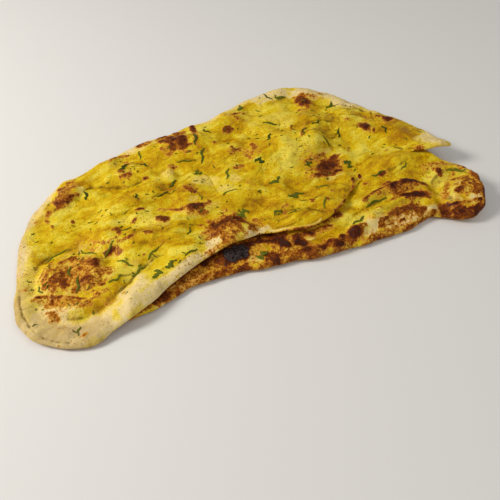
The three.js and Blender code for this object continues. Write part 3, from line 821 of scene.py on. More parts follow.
LOWER_TOAST_AND_SHADOW: tuple[Mark, ...] = (
    # The three ridges at the right
    Stroke((90, -65), (117, -57.5), (151, -66), 2.2, 0.9),
    Stroke((120, -59), (136, -59.5), (149, -66), 3.2, 1.2), Patch(126, -63, 23, 4.6, -8, 0.6),
    Patch(134, -73, 12.5, 6, -12, 1.2, 0.35), Patch(143, -80, 3, 4, 0, 0.66, 0.7),
    Patch(117, -71, 9, 3, 8, 0.4, 0.9), Patch(118, -85.5, 18, 6, 2, 0.78, 0.35),
    Patch(108, -86, 8, 3, 8, 0.74, 0.7), Patch(112, -91, 30, 9, 0, 0.3, 0.9),
    Patch(126, -91, 7, 4, 0, 0.55), Patch(97, -89, 3.0, 1.4, 0, 0.7, 0.6),
    Patch(110, -94, 3.4, 1.7, 0, 0.84, 0.6), Patch(131, -91, 5, 3, 0, 0.56, 0.9),
    Patch(90, -94, 5, 2.4, 0, 0.44, 0.9), Patch(120, -42, 6, 3.4, 0, 0.84, 0.5),
    Patch(119, -53, 5.4, 2.6, 10, 0.74, 0.6), Patch(104, -45, 3, 2, 0, 0.44),
    Patch(167, -61, 2.6, 4, 10, 0.96, 0.5), Patch(167, -56, 4, 3, 0, 0.46),
    Patch(98, -77, 2.4, 3.4, 20, 0.6, 0.7), Patch(160, -50, 9, 4, 0, 0.3, 0.9),
    # The knob
    Patch(176, -84, 20, 19, -20, 0.3, 0.9), Patch(186, -92, 9, 14, 20, 0.56, 0.9),
    Patch(181, -80, 10, 9, 0, 0.44, 1.0), Patch(192, -84, 6, 14, 0, 0.8, 0.7),
    Patch(169, -87, 5.4, 3.8, 10, 0.84, 0.7), Patch(175, -82, 1.8, 3.6, -20, 0.7, 0.6),
    Patch(181, -86, 2.6, 2.6, 0, 0.8, 0.6), Patch(186, -86, 4, 11, 8, 0.62),
    Patch(179, -96, 3.6, 3, 0, 0.68), Patch(171, -96, 3, 3, 0, 0.5),
    Patch(184, -76, 7, 6, -40, 0.46, 0.9), Patch(188, -99, 4, 9, -24, 0.96, 0.6),
    Patch(151, -97, 7, 8, 0, 0.9, 0.6), Patch(142, -103, 6, 3.4, 0, 0.8, 0.7),
    Patch(158, -104, 13, 7, -38, 0.84, 0.7), Patch(170, -110, 15, 6, -2, 0.88, 0.7),
    Stroke((155, -94), (165, -99.5), (180, -104), 1.5, 1.1), Patch(192, -72, 5, 10, 10, 0.64),
    Patch(190, -62, 6, 7, 20, 0.5, 0.9), Patch(178, -54, 10, 5, -30, 0.3, 0.9),
    # The front edge, from the ridges to the left
    Patch(42, -96, 40, 6.4, 0, 0.66, 0.5), Patch(12, -82, 17, 15, 0, 0.46, 0.6),
    Patch(90, -101, 40, 3.6, 0, 0.44, 0.9), Patch(66, -93, 8.4, 6, 0, 1.0, 0.5),
    Patch(76, -91, 5, 4, 0, 0.4, 0.9), Patch(43, -92.5, 3, 2.6, 30, 0.92, 0.6),
    Patch(55, -91.5, 3, 3, 0, 0.96, 0.6), Patch(47, -99, 8, 2.4, 0, 1.0, 0.6),
    Patch(35, -97, 4.6, 4.2, 0, 1.06, 0.4), Patch(22, -92.5, 7, 4.4, 10, 0.86, 0.7),
    Patch(21, -84, 8, 5.4, -14, 1.16, 0.5), Patch(9, -82, 7.6, 5, -30, 1.16, 0.5),
    Patch(6, -75, 6, 4.4, -20, 0.98, 0.6), Patch(14, -94, 9, 3, -6, 0.56, 0.9),
    # Painted shadow: these three strokes darken the lower layer along and under the flap's front edge,
    # where the flap shades it
    Stroke((-12, -68), (16, -77), (50, -78.5), 3.4, 0.95),
    Stroke((-44, -72), (6, -66), (62, -70), 5.0, 0.8),
    Stroke((-116, -98), (-76, -80), (-36, -71), 4.2, 1.0), Patch(10, -72, 11, 3.6, -8, 0.8),
    Patch(-5, -88, 7, 9, 10, 0.96, 0.6), Patch(-14, -80, 14, 12, 0, 0.42, 0.9),
    Patch(-36, -75, 6, 6, 0, 1.7, 0.4), Patch(-24, -74, 6, 6, 0, 1.7, 0.4),
    Patch(-30, -73, 7, 5, 0, 1.7, 0.4), Patch(-35, -80, 6, 5, 0, 1.7, 0.4),
    Patch(-25, -79.5, 6, 5, 0, 1.7, 0.4), Patch(-30, -77, 10, 6.6, 0, 1.7, 0.4),
    Patch(-14, -70, 10, 3, 6, 0.9, 0.6), Patch(-60, -85, 52, 17, 2, 0.42, 0.4),
    Patch(-58, -85, 46, 15, 2, 0.46, 1.3), Patch(-30, -91, 13, 5, 0, 0.8),
    Patch(-58, -76, 7, 3.4, 10, 1.0, 0.6), Patch(-45, -78, 7, 5, 0, 0.86, 0.7),
    Patch(-50, -88, 14, 3, 0, 0.7), Patch(-78, -86, 8, 3.6, 16, 0.5, 0.9),
    Patch(-96, -93, 15, 4.4, 22, 0.7), Patch(-124, -92, 12, 14, 0, 0.74, 0.7),
    Patch(-68, -81, 8, 4, 24, 0.5, 0.9), Stroke((-134, -99), (-60, -92), (20, -98), 3.0, 0.7),
    Stroke((20, -100), (80, -104), (140, -97), 2.6, 0.78), Patch(10, -84, 20, 14, 0, 0.3, 0.9),
)
FLAP_DRY: tuple[Mark, ...] = (
    # The thin cream line along the front edge in the middle
    Stroke((2, -65.5), (28, -74.6), (46, -72.6), 0.9, 1.0),
    # The wide pale rim round the left end and along the front
    Patch(-160, -101, 38, 12, 2, 1.1, 0.5), Patch(-177, -88, 27, 23, 0, 0.98, 0.6),
    Patch(-187, -70, 12, 22, 8, 0.7, 0.7), Patch(-186, -34, 11, 28, -8, 0.62),
    Patch(-154, -52, 32, 24, -4, 0.62), Patch(-186, -86, 10, 16, 30, 0.8, 0.7),
    Patch(-180, -73, 13, 9, 10, 0.5, 0.9), Patch(-116, -83, 18, 12, 34, 1.05, 0.5),
    Patch(-122, -96, 14, 7, 30, 1.3, 0.4), Patch(-94, -88, 24, 7, 24, 1.05, 0.5),
    Patch(-68, -77, 18, 6, 28, 1.0, 0.5), Patch(-46, -63, 11, 7, 24, 1.2, 0.4),
    Patch(-51, -71, 9, 6, 24, 1.1, 0.5), Patch(-189, -20, 8, 24, -12, 0.9),
    Patch(-185, -46, 8, 10, 0, 0.46, 0.9), Patch(-176, 24, 8, 17, -34, 0.72),
    Patch(-160, 43, 16, 6, 44, 0.85, 0.7), Patch(-5, -61, 13, 5, 8, 1.1, 0.6),
    Patch(-14, -67, 7, 3.6, 10, 1.2, 0.4),
    # Pale humps of the left half
    Patch(-53, 35, 6, 9, -18, 0.66, 0.6), Patch(-23, 12, 16, 7, -18, 0.72, 0.5),
    Patch(-13, -5, 8, 9, 0, 0.72, 0.5), Patch(1, 3, 9, 6, -30, 0.66, 0.6),
    Patch(-82, -24, 10, 10, -40, 0.44), Patch(-32, -24, 12, 6, 10, 0.44, 0.9),
    Patch(-42, -8, 7, 4, 10, 0.56), Patch(-74, -28, 9, 3.6, -10, 0.5), Patch(-38, -26, 7, 3, 0, 0.56),
    Patch(-68, 78, 18, 6, 12, 0.85, 0.6), Patch(-71, 84, 15, 6, 10, 1.0, 0.5),
    Patch(-4, 84, 8, 12, 0, 0.46, 0.9), Patch(-108, 60, 18, 5, 18, 0.4, 0.9),
    Patch(-106, -58, 12, 6, 20, 0.4, 0.9), Patch(-150, -24, 16, 4, 6, 0.42, 0.9),
    Patch(-140, -38, 8, 8, 0, 0.4, 0.9), Patch(-98, -62, 14, 5, 24, 0.4, 0.9),
    # The back rim and the humps of the right half
    Patch(12, 92, 14, 6, 8, 0.8, 0.7), Patch(72, 99, 15, 6, 4, 1.0, 0.6), Patch(-130, 44, 7, 7, 0, 0.8),
    Patch(40, 102, 24, 7, 20, 0.8, 0.7), Patch(80, 106, 28, 9, 0, 1.1, 0.5),
    Patch(116, 95, 25, 13, -26, 1.2, 0.5), Patch(130, 84, 18, 12, -44, 1.1, 0.5),
    Patch(139, 70, 21, 12, -56, 1.25, 0.5), Patch(148, 58, 12, 8, -50, 1.1, 0.6),
    Patch(158, 46, 14, 5, -62, 0.7), Patch(60, 86, 44, 16, 4, 0.34, 1.0),
    Patch(56, 14, 34, 13, 6, 0.32, 1.0), Patch(25, 30, 12, 10, 0, 0.36, 1.0),
    Patch(86, -26, 12, 3.4, 4, 0.7, 0.6), Patch(50, -6, 16, 12, 0, 0.42, 0.9),
    Patch(74, 70, 22, 16, 60, 0.44, 0.9), Patch(42, 74, 10, 14, -20, 0.42, 0.9),
    Patch(88, 5, 12, 3, 8, 0.5), Patch(142, 0, 16, 9, -24, 0.2, 1.0),
    Patch(187, -22, 17, 14, -40, 1.3, 0.4), Patch(134, 44, 14, 6, 0, 0.34, 1.0),
)
LOWER_DRY: tuple[Mark, ...] = (
    # Bare dough between the toasted spots of the front edge and on the knob
    Patch(-70, -89, 22, 6, 6, 1.3), Patch(-96, -99, 12, 4, 20, 0.8), Patch(-44, -88, 10, 4, 0, 0.8, 0.9),
    Patch(26, -82, 14, 3, -4, 0.7, 0.9), Patch(86, -91, 18, 8, 4, 0.95, 0.7),
    Patch(82, -77, 13, 3.4, 8, 0.5), Patch(143, -93, 8, 5.6, -12, 1.1, 0.35),
    Patch(49, -95, 4.4, 2.6, 0, 1.1, 0.3), Patch(112, -93, 30, 7, 2, 1.0, 0.7),
    Patch(176, -101, 8, 5.4, -24, 1.2, 0.4), Patch(173, -84, 15, 13, -10, 0.56, 0.9),
    Patch(163, -94, 3, 8, 30, 0.8, 0.6), Patch(-18, -85, 9, 5.6, 0, 0.9, 0.6),
    Stroke((2, -80), (7, -87), (14, -90), 2.2, 1.0), Patch(110, -79, 16, 2.4, 2, 0.4, 0.9),
    Patch(-9, -73, 3, 4, 0, 0.5, 0.9), Patch(112, -67, 14, 3, 4, 0.3, 0.9),
)
FLAP_POOLS_AND_SHADE: tuple[Mark, ...] = (
    # Where butter lies deep and dark, and painted shade in valleys and on the tip's shaded side
    Patch(30, 70, 10, 9, 0, 1.2), Patch(-22, 66, 12, 8, 0, 0.9), Patch(82, 44, 12, 12, 0, 0.8, 0.7),
    Patch(62, 38, 10, 8, 0, 0.6), Patch(116, 66, 8, 8, 0, 0.5), Patch(-114, 42, 9, 11, 0, 0.7, 0.6),
    Patch(-50, 6, 8, 5, 0, 1.1, 0.6), Patch(-106, 32, 16, 8, 0, 0.6, 0.7),
    Patch(-62, 60, 17, 11, -16, 0.95, 0.6), Patch(-48, 50, 20, 6, 0, 0.7, 0.7),
    Patch(-55, 16, 24, 7, 4, 0.6, 0.9), Patch(-42, -8, 22, 9, 0, 0.8), Patch(-70, -50, 12, 8, 0, 0.9),
    Patch(-96, 12, 10, 18, 20, 0.45, 0.9), Patch(-130, -14, 36, 4.4, -2, 0.55),
    Patch(-168, 8, 8, 10, 0, 0.7, 0.7), Patch(-108, -57, 10, 7, 10, 0.6),
    Patch(-78, -46, 12, 10, 30, 0.5, 0.9), Patch(-16, -27, 15, 12, 0, 0.6),
    Stroke((-160, -84), (-147, -87), (-132, -80), 5.0, 0.34), Patch(4, -40, 14, 14, 0, 0.5, 0.7),
    Patch(18, -36, 16, 10, 0, 0.45, 0.7), Patch(50, -33, 26, 8, 0, 0.4, 0.7),
    Patch(-26, 50, 14, 8, 0, 0.8, 0.7), Patch(-33, 44, 10, 8, 0, 0.8), Patch(50, 30, 10, 10, 0, 0.7),
    Patch(168, -6, 12, 14, 0, 0.7, 0.7), Patch(152, 14, 12, 14, -40, 0.9),
    Patch(168, 14, 9, 13, -50, 0.9), Patch(15, 56, 9, 10, 0, 0.55, 0.7), Patch(39, 36, 6, 20, -8, 0.6),
    Patch(24, -8, 6, 20, 10, 0.6), Patch(96, 56, 12, 18, -30, 0.85, 0.7),
    Patch(118, 44, 9, 12, -20, 1.0), Patch(160, -8, 10, 8, -40, 0.8), Patch(146, 42, 12, 5, -20, 0.9),
    Patch(100, 26, 13, 11, 0, 0.7), Patch(46, -62, 26, 7, 0, 0.5), Patch(158, -10, 12, 8, 0, 0.4, 0.9),
    Patch(52, 97, 16, 4, 10, 0.5, 0.9), Patch(122, 46, 10, 5, 0, 0.6), Patch(150, 30, 8, 8, 0, 0.6),
    Patch(2, 30, 10, 10, 0, 0.5, 0.9),
)
LOWER_POOLS: tuple[Mark, ...] = (
    # Between the ridges, behind the knob and along the front edge
    Patch(44, -84, 22, 6, 0, 0.8, 0.7), Patch(100, -72, 26, 4, 4, 0.6), Patch(150, -68, 9, 9, -20, 0.6),
    Patch(130, -50, 30, 5, 0, 0.6, 0.9), Patch(160, -42, 12, 12, 0, 0.4, 0.9),
)
FLAP_THIN: tuple[Mark, ...] = (
    # Where butter lies thin and pale
    Patch(-76, 10, 11, 10, 0, 1.1, 0.7), Patch(126, 11, 14, 10, 0, 1.4, 0.7),
    Patch(51, 1, 12, 9, 0, 1.2, 0.7), Patch(92, 8, 16, 11, 0, 1.3), Patch(126, -6, 18, 16, 0, 1.2),
    Patch(130, -28, 14, 10, 0, 1.1), Patch(4, 42, 15, 18, 0, 1.2), Patch(-112, 30, 10, 9, 0, 0.8),
    Patch(-110, -11, 14, 9, 0, 1.6, 0.7), Patch(-172, -12, 9, 9, 0, 1.2, 0.7),
    Patch(-52, -30, 9, 8, 0, 0.9), Patch(74, 50, 17, 9, 0, 0.8), Patch(-89, -40, 10, 8, 0, 1.1, 0.7),
    Patch(144, 0, 10, 8, 0, 0.7), Patch(-186, -56, 14, 26, 0, 1, 0.6), Patch(-148, 12, 30, 24, 10, 0.8),
    Patch(-184, -8, 9, 30, -6, 1), Patch(-106, -4, 30, 12, 0, 0.9), Patch(-100, -12, 24, 9, 0, 1.1, 0.7),
    Patch(120, -10, 20, 9, 0, 0.9, 0.7), Patch(-112, -58, 26, 14, 24, 1),
    Patch(-66, -62, 20, 6, 20, 0.5), Patch(-40, 22, 26, 12, -10, 0.5, 0.9),
    Patch(-84, 44, 12, 12, 0, 0.4, 0.9), Patch(46, -4, 22, 12, 0, 0.56),
    Patch(58, 74, 30, 18, 10, 0.43, 0.9), Patch(60, 14, 20, 10, 0, 0.5, 0.9),
    Patch(118, 8, 24, 18, -30, 0.37, 0.9), Patch(129, 11, 9, 9, 0, 0.9),
    Patch(141, -12, 10, 7, -30, 0.8), Patch(90, 12, 12, 10, 0, 0.5), Patch(66, 92, 24, 10, 0, 0.5),
    Patch(20, -30, 30, 14, 0, 0.19, 0.9), Patch(134, -16, 20, 10, 0, 0.62),
    Patch(106, -30, 10, 8, 0, 0.43, 0.9), Patch(138, 56, 14, 8, -30, 0.5, 0.9),
    Patch(-70, 90, 10, 6, 0, 0.4, 0.9), Patch(6, 26, 14, 8, 0, 0.31, 0.9),
)
LOWER_THIN: tuple[Mark, ...] = (
    # On the ridges and beside the knob
    Patch(76, -68, 14, 8, 30, 0.7), Patch(84, -80, 16, 8, 0, 0.8), Patch(108, -70, 14, 4, 6, 0.6),
    Patch(165, -66, 14, 8, -20, 0.8), Patch(162, -84, 8, 12, 0, 0.8),
)
FLAP_END_SHADE: tuple[Mark, ...] = (
    # Painted shade on the bare dough round the left end
    Stroke((-170, 40), (-194, -2), (-196, -56), 9.0, 1.0),
    Stroke((-196, -50), (-192, -94), (-150, -113), 10.0, 1.0), Patch(-168, -99, 30, 12, -14, 0.95, 0.6),
    Patch(-186, -84, 10, 16, 20, 0.7, 0.7),
)
FLAP_CREASES: tuple[Mark, ...] = (
    # Valleys, with an olive painted shade along them
    Stroke((32, 60), (31, 26), (21, -10), 2.2, 0.5),
    Stroke((-128, -62), (-116, -67), (-104, -63), 1.1, 0.9),
    Stroke((-60, 22), (-44, 20), (-30, 27), 1.1, 0.7), Stroke((-118, 2), (-104, -2), (-92, 2), 1.0, 0.6),
    Stroke((40, -44), (52, -47), (64, -44), 1.1, 0.7), Stroke((20, -51), (38, -55), (53, -66), 1.3, 1.1),
    Stroke((60, 46), (66, 56), (70, 68), 1.2, 0.7), Stroke((114, 56), (124, 58), (134, 54), 1.2, 0.8),
    Stroke((-74, -36), (-60, -33), (-48, -36), 1.1, 0.7),
    Stroke((-180, -29), (-167, -19.5), (-151, -18), 1.4, 1.2),
    Stroke((-151, -18), (-140, -21), (-133, -28), 1.0, 0.6),
    Stroke((-168, -86), (-150, -90.5), (-130, -83.5), 1.5, 0.7),
    Stroke((-134, -85), (-112, -70), (-88, -57), 1.4, 0.96),
    Stroke((-194, -48), (-195, -70), (-190, -89), 1.2, 0.84),
    Stroke((-190, -89), (-183, -99), (-168, -108), 1.1, 0.76),
    Stroke((-120, 47), (-108, 40), (-98, 37), 1.1, 0.96),
    Stroke((-99, 37.5), (-87, 34), (-74, 36), 1.4, 1.2), Stroke((-75, 6), (-68, 10), (-57, 7), 1.0, 1.2),
    Stroke((-97, 3), (-91, 2.4), (-84, 4), 1.0, 0.84),
    Stroke((-98, -59), (-92, -57.6), (-85, -58.4), 1.1, 1.1),
    Stroke((-98, -46), (-91, -43.6), (-84, -43), 1.0, 0.6),
    Stroke((-89, -53), (-85, -51), (-81, -49), 1.0, 0.84),
    Stroke((-18, -14), (-12, -11), (-5, -12), 1.1, 1.1),
    Stroke((-40, 45), (-31, 44.4), (-23, 40), 1.1, 1.1),
    Stroke((-22, 22), (-20, 10), (-21, -8), 1.3, 0.6),
    Stroke((22, -12), (50, -21), (88, -35), 1.4, 0.36),
    Stroke((88, -47), (97, -39), (107, -33), 1.5, 1.2),
    Stroke((86, 40), (99, 42.4), (112, 39), 1.4, 0.96),
    Stroke((96, 24), (105, 20), (112, 26), 1.3, 0.84),
    Stroke((132, 41), (141, 42.4), (151, 37), 1.1, 0.72),
    Stroke((106, -28), (108.6, -24), (110, -19), 1.0, 0.96),
    Stroke((8, -52), (20, -58), (36, -57), 1.4, 0.84), Stroke((6, -60), (16, -68), (30, -67), 1.5, 0.84),
    Stroke((52, -62), (60, -56), (74, -52), 1.3, 0.6),
    Stroke((-28, 20), (-25, 26), (-30, 30), 1.1, 0.48), Stroke((104, 60), (92, 46), (84, 30), 1.5, 0.48),
    Stroke((142, -8), (146, -12), (154, -13), 1.1, 0.6),
    Stroke((151, -15), (158, -23), (165, -31), 1.2, 1.0),
    Stroke((136, 52), (148, 50), (158, 46), 1.1, 0.9), Stroke((114, 75), (132, 65), (152, 47), 1.3, 1.0),
    Stroke((118, 56), (132, 44), (150, 40), 1.0, 0.7), Stroke((160, 44), (155, 34), (153, 24), 1.1, 0.8),
    Stroke((-126, 44), (-118, 45), (-104, 38), 0.9, 1.3),
)
LOWER_CREASES: tuple[Mark, ...] = (
    # Valleys beside the ridges and round the knob, with painted shade along them
    Stroke((122, -40), (134, -42), (149, -38), 1.3, 0.96),
    Stroke((128, -46), (134, -47), (140, -44), 1.0, 0.72),
    Stroke((76, -74), (88, -71), (106, -68), 1.4, 0.72),
    Stroke((158, -66), (172, -61.5), (184, -67), 1.4, 1.1),
    Stroke((184, -67), (189, -72), (191, -80), 1.4, 0.96),
    Stroke((158, -76), (157, -86), (164, -98), 1.8, 0.72),
    Stroke((146, -66), (150, -72), (146, -82), 1.8, 0.72),
    Stroke((84, -82), (100, -80), (140, -80), 1.1, 0.48),
    Stroke((150, -52), (158, -56), (166, -54), 1.1, 0.6),
)


class Border(Enum):
    """Each mask's border: the size of its lumps and how far its noise is moved, in mm.

    The moves keep any two masks from sharing one noise.
    """
    TOAST_AND_SHADOW = (5.0, 0.0)
    DRY = (8.0, 310.0)
    POOLS_AND_SHADE = (12.0, 620.0)
    THIN = (12.0, 480.0)
    END_SHADE = (9.0, 240.0)
    CREASES = (4.0, 140.0)


@dataclass(frozen=True)
class Bubbles:
    """Small domes at seeded places all over the bread, in mm."""
    count: int = 340
    area: tuple[tuple[float, float], tuple[float, float]] = ((-200, -115), (200, 118))
    radii: tuple[float, float] = (1.8, 8.0)
    heights: tuple[float, float] = (0.2, 1.7)
    lowest_share: float = 0.35
    squash: float = 1.2
    side: float = 0.8

    def rise(self, x: Array, y: Array, seed: int) -> Array:
        """The eased domes added up. Small ones are the most frequent and the lowest.

        Args:
            x: Places along X.
            y: Places along Y.
            seed: What the places and sizes are drawn from.

        Returns:
            The height at each place.
        """
        draw = np.random.default_rng(seed)
        places = draw.uniform(*self.area, (self.count, 2))
        sizes = draw.uniform(0, 1, (self.count, 2)) ** 2
        (small, large), (least, most) = self.radii, self.heights
        radii = small + (large - small) * sizes[:, 0]
        heights = ((least + (most - least) * sizes[:, 1])
                   * (self.lowest_share + (1 - self.lowest_share) * sizes[:, 0]))
        height = np.zeros_like(x)
        for (place_x, place_y), radius, tall in zip(places, radii, heights):
            share = np.hypot(x - place_x, (y - place_y) * self.squash) / radius
            height = height + tall * smooth((1 - share) / self.side)
        return height


@dataclass(frozen=True)
class Wrinkles:
    """Long fine valleys: their depth and size in mm, and how they are squeezed and warped."""
    depth: float = 0.576
    size: float = 12.0
    squeeze: float = 0.5
    warp: float = 6.0
    warp_size: float = 34.0
    level: float = 0.6

    def near(self, x: Array, y: Array, noise: Noise) -> Array:
        """Nearness to the valleys where warped noise, drawn out along X, crosses zero.

        Args:
            x: Places along X.
            y: Places along Y.
            noise: What the valleys follow.

        Returns:
            From 0 beside a valley to 1 in its middle.
        """
        warp = self.warp * noise.layered(x, y, self.warp_size, 2)
        valleys = 1 - np.abs(noise.layered(x * self.squeeze + warp, y + warp, self.size, 3))
        return np.clip((valleys - self.level) / (1 - self.level), 0, 1) ** 2


@dataclass(frozen=True)
class Lumps:
    """Uneven relief by noise: its height, size and move in mm, and its octaves."""
    height: float
    size: float
    move: tuple[float, float]
    octaves: int

    def rise(self, x: Array, y: Array, noise: Noise) -> Array:
        """Height times the noise at the moved place."""
        return self.height * noise.layered(x + self.move[0], y + self.move[1], self.size, self.octaves)


@dataclass(frozen=True)
class Skin:
    """The fine relief and the finish's masks of one layer, worked out from its place."""
    toast_and_shadow: tuple[Mark, ...]
    dry: tuple[Mark, ...]
    pools_and_shade: tuple[Mark, ...]
    thin: tuple[Mark, ...]
    creases: tuple[Mark, ...]
    end_shade: tuple[Mark, ...] = ()
    seed: int = 7
    raggedness: float = 0.7
    bubbles: Bubbles = Bubbles()
    wrinkles: Wrinkles = Wrinkles()
    lumps: Lumps = Lumps(0.8, 13.0, (90, -40), 3)
    grain: Lumps = Lumps(0.2, 2.6, (-200, 130), 2)
    plain_grain: float = 0.7
    toasted_grain: float = 1.6
    crease_depth: float = 0.7
    blister_height: float = 0.8
    blister_toast: float = 0.9

    def mask(self, marks: Sequence[Mark], border: Border, x: Array, y: Array) -> Array:
        """The deepest of the marks at each place, their borders ragged by one noise.

        Args:
            marks: The patches and strokes.
            border: What their borders look like.
            x: Places along X.
            y: Places along Y.

        Returns:
            How full the finish is at each place.
        """
        size, move = border.value
        ragged = self.raggedness * Noise(self.seed).layered(x + move, y - move, size, 4)
        depth = np.zeros_like(x)
        for mark in marks:
            depth = np.maximum(depth, mark.depth(x, y, ragged))
        return depth

    def toasted_and_shadowed(self, x: Array, y: Array) -> Array:
        """How browned each place is, by toasting and by painted shadow under the flap's edge."""
        return self.mask(self.toast_and_shadow, Border.TOAST_AND_SHADOW, x, y)

    def creased(self, x: Array, y: Array) -> Array:
        """How deep in one of the creases each place is."""
        return self.mask(self.creases, Border.CREASES, x, y)

    def wrinkled(self, x: Array, y: Array) -> Array:
        """Nearness to the wrinkles' valleys."""
        return self.wrinkles.near(x, y, Noise(self.seed + 1))

    def relief(self, x: Array, y: Array) -> Array:
        """Bubbles, wrinkles, creases, lumps, grain and blisters under the toast, in mm.

        Wrinkles and creases are valleys. Grain is rougher where toasted, and toasted
        dough stands up.

        Args:
            x: Places along X.
            y: Places along Y.

        Returns:
            The height at each place.
        """
        noise, toast_and_shadow = Noise(self.seed + 3), self.toasted_and_shadowed(x, y)
        height = self.bubbles.rise(x, y, self.seed + 2)
        height = height - self.wrinkles.depth * self.wrinkled(x, y)
        height = height - self.crease_depth * self.creased(x, y)
        height = height + self.lumps.rise(x, y, noise)
        rougher = self.plain_grain + self.toasted_grain * np.clip(toast_and_shadow, 0, 1)
        height = height + self.grain.rise(x, y, noise) * rougher
        return height + self.blister_height * smooth(toast_and_shadow / self.blister_toast)


@dataclass(frozen=True)
class PaleRim:
    """How pale and dry the rim of a layer is, along its front and along its back edge."""
    front: tuple[tuple[float, float], ...]
    back: tuple[tuple[float, float], ...]
    front_line: Array
    back_line: Array
    reach: float = 9.0

    def at(self, x: Array, y: Array) -> Array:
        """Each edge's paleness at x, eased out over the reach.

        Args:
            x: Places along X.
            y: Places along Y.

        Returns:
            The greater of the two edges' paleness.
        """
        def edge(table: tuple[tuple[float, float], ...], line: Array) -> Array:
            """One edge's paleness."""
            return DOUGH.along(table, x) * smooth(1 - distance_to_line(x, y, line) / self.reach)
        return np.maximum(edge(self.front, self.front_line), edge(self.back, self.back_line))


@dataclass
class BreadLayer:
    """One layer of the bread, as a closed shell with its finish's masks."""
    name: str
    outline: Outline
    columns: int
    top_rows: Rows
    under_rows: Rows
    skin: Skin
    forms: tuple[Blister | Fold, ...]
    heights: tuple[Height, Height]
    rim: PaleRim
    rim_relief: float = 0.35
    under_relief: float = 0.35
    under_toast: float = 0.34
    under_toast_ease: float = 1.4
    under_ease: float = 3.0
    wrinkle_shade: float = 0.45
    form_share: float = 0.2
    relief_share: float = 1.3

    def traits(self, x: Array, y: Array, side: Array, rounding: Array, fine: Array
               ) -> dict[str, Array]:
        """Work out what the finish reads at each point.

        The underside has an even light toast and no creases.

        Args:
            x: Places along X.
            y: Places along Y.
            side: The face of each point, 0 on the edge.
            rounding: From 0 on the edge to 1 inside the rim.
            fine: The fine relief.

        Returns:
            The traits by name.
        """
        skin, top = self.skin, side >= 0
        toast_and_shadow = skin.toasted_and_shadowed(x, y)
        under = smooth(self.under_toast_ease * rounding)
        # Painted shade: the creases and the wrinkles' valleys set how much olive shade is painted
        crease_shade = np.maximum(skin.creased(x, y), self.wrinkle_shade * skin.wrinkled(x, y))
        forms = total(self.forms, x, y) + DOUGH.swell(x, y)
        return {
            "toast_and_shadow": np.where(top, toast_and_shadow, toast_and_shadow + (self.under_toast - toast_and_shadow) * under),
            "dry": skin.mask(skin.dry, Border.DRY, x, y),
            "pool_and_shade": (skin.mask(skin.pools_and_shade, Border.POOLS_AND_SHADE, x, y)
                     - skin.mask(skin.thin, Border.THIN, x, y)),
            "end_shade": skin.mask(skin.end_shade, Border.END_SHADE, x, y),
            "crease_shade": np.where(top, crease_shade, 0.0),
            "rim": self.rim.at(x, y),
            "under": np.clip(-side, 0, 1) * smooth(self.under_ease * rounding),
            "high": self.form_share * forms + self.relief_share * fine,
        }

    def shell(self) -> Shell:
        """Work out the layer's surface.

        The faces meet at half height round a rim like a quarter circle: the root of one
        less the squared share of the rim's radius that a point lies short of.

        Returns:
            The closed shell with its traits.
        """
        places, side, faces = columns_and_rows(
            self.outline, self.columns, {Face.TOP: self.top_rows, Face.UNDER: self.under_rows})
        x, y = places.T
        edge = distance_to_line(x, y, self.outline.ring())
        near = np.clip(edge / DOUGH.rim_radius, 0, 1)
        rounding = np.sqrt(1 - (1 - near) ** 2)
        high, low = (face(x, y) for face in self.heights)
        middle = low + (high - low) * DOUGH.rim_middle
        fine = self.skin.relief(x, y)
        top = side >= 0
        base = middle + np.where(top, high - middle, low - middle) * rounding
        above = fine * (self.rim_relief + (1 - self.rim_relief) * rounding)
        below = self.under_relief * np.abs(fine) * rounding
        z = base + np.where(top, above, below)
        points = np.stack([x - MIDDLE_X, y - MIDDLE_Y, np.maximum(z, 0.0)], -1)
        return Shell(points, faces, self.traits(x, y, side, rounding, fine))

    def build(self, material: bpy.types.Material) -> bpy.types.Object:
        """Make the layer's piece and join it to the frame.

        Args:
            material: The bread's finish.

        Returns:
            The piece.
        """
        piece = make_object(self.name, self.shell(), material)
        join_to_frame(piece)
        return piece


@dataclass(frozen=True)
class Speckle:
    """A noise of a finish: its lumps' size in mm, its detail, roughness and warp."""
    size: float
    detail: float
    rough: float
    warp: float = 0.0


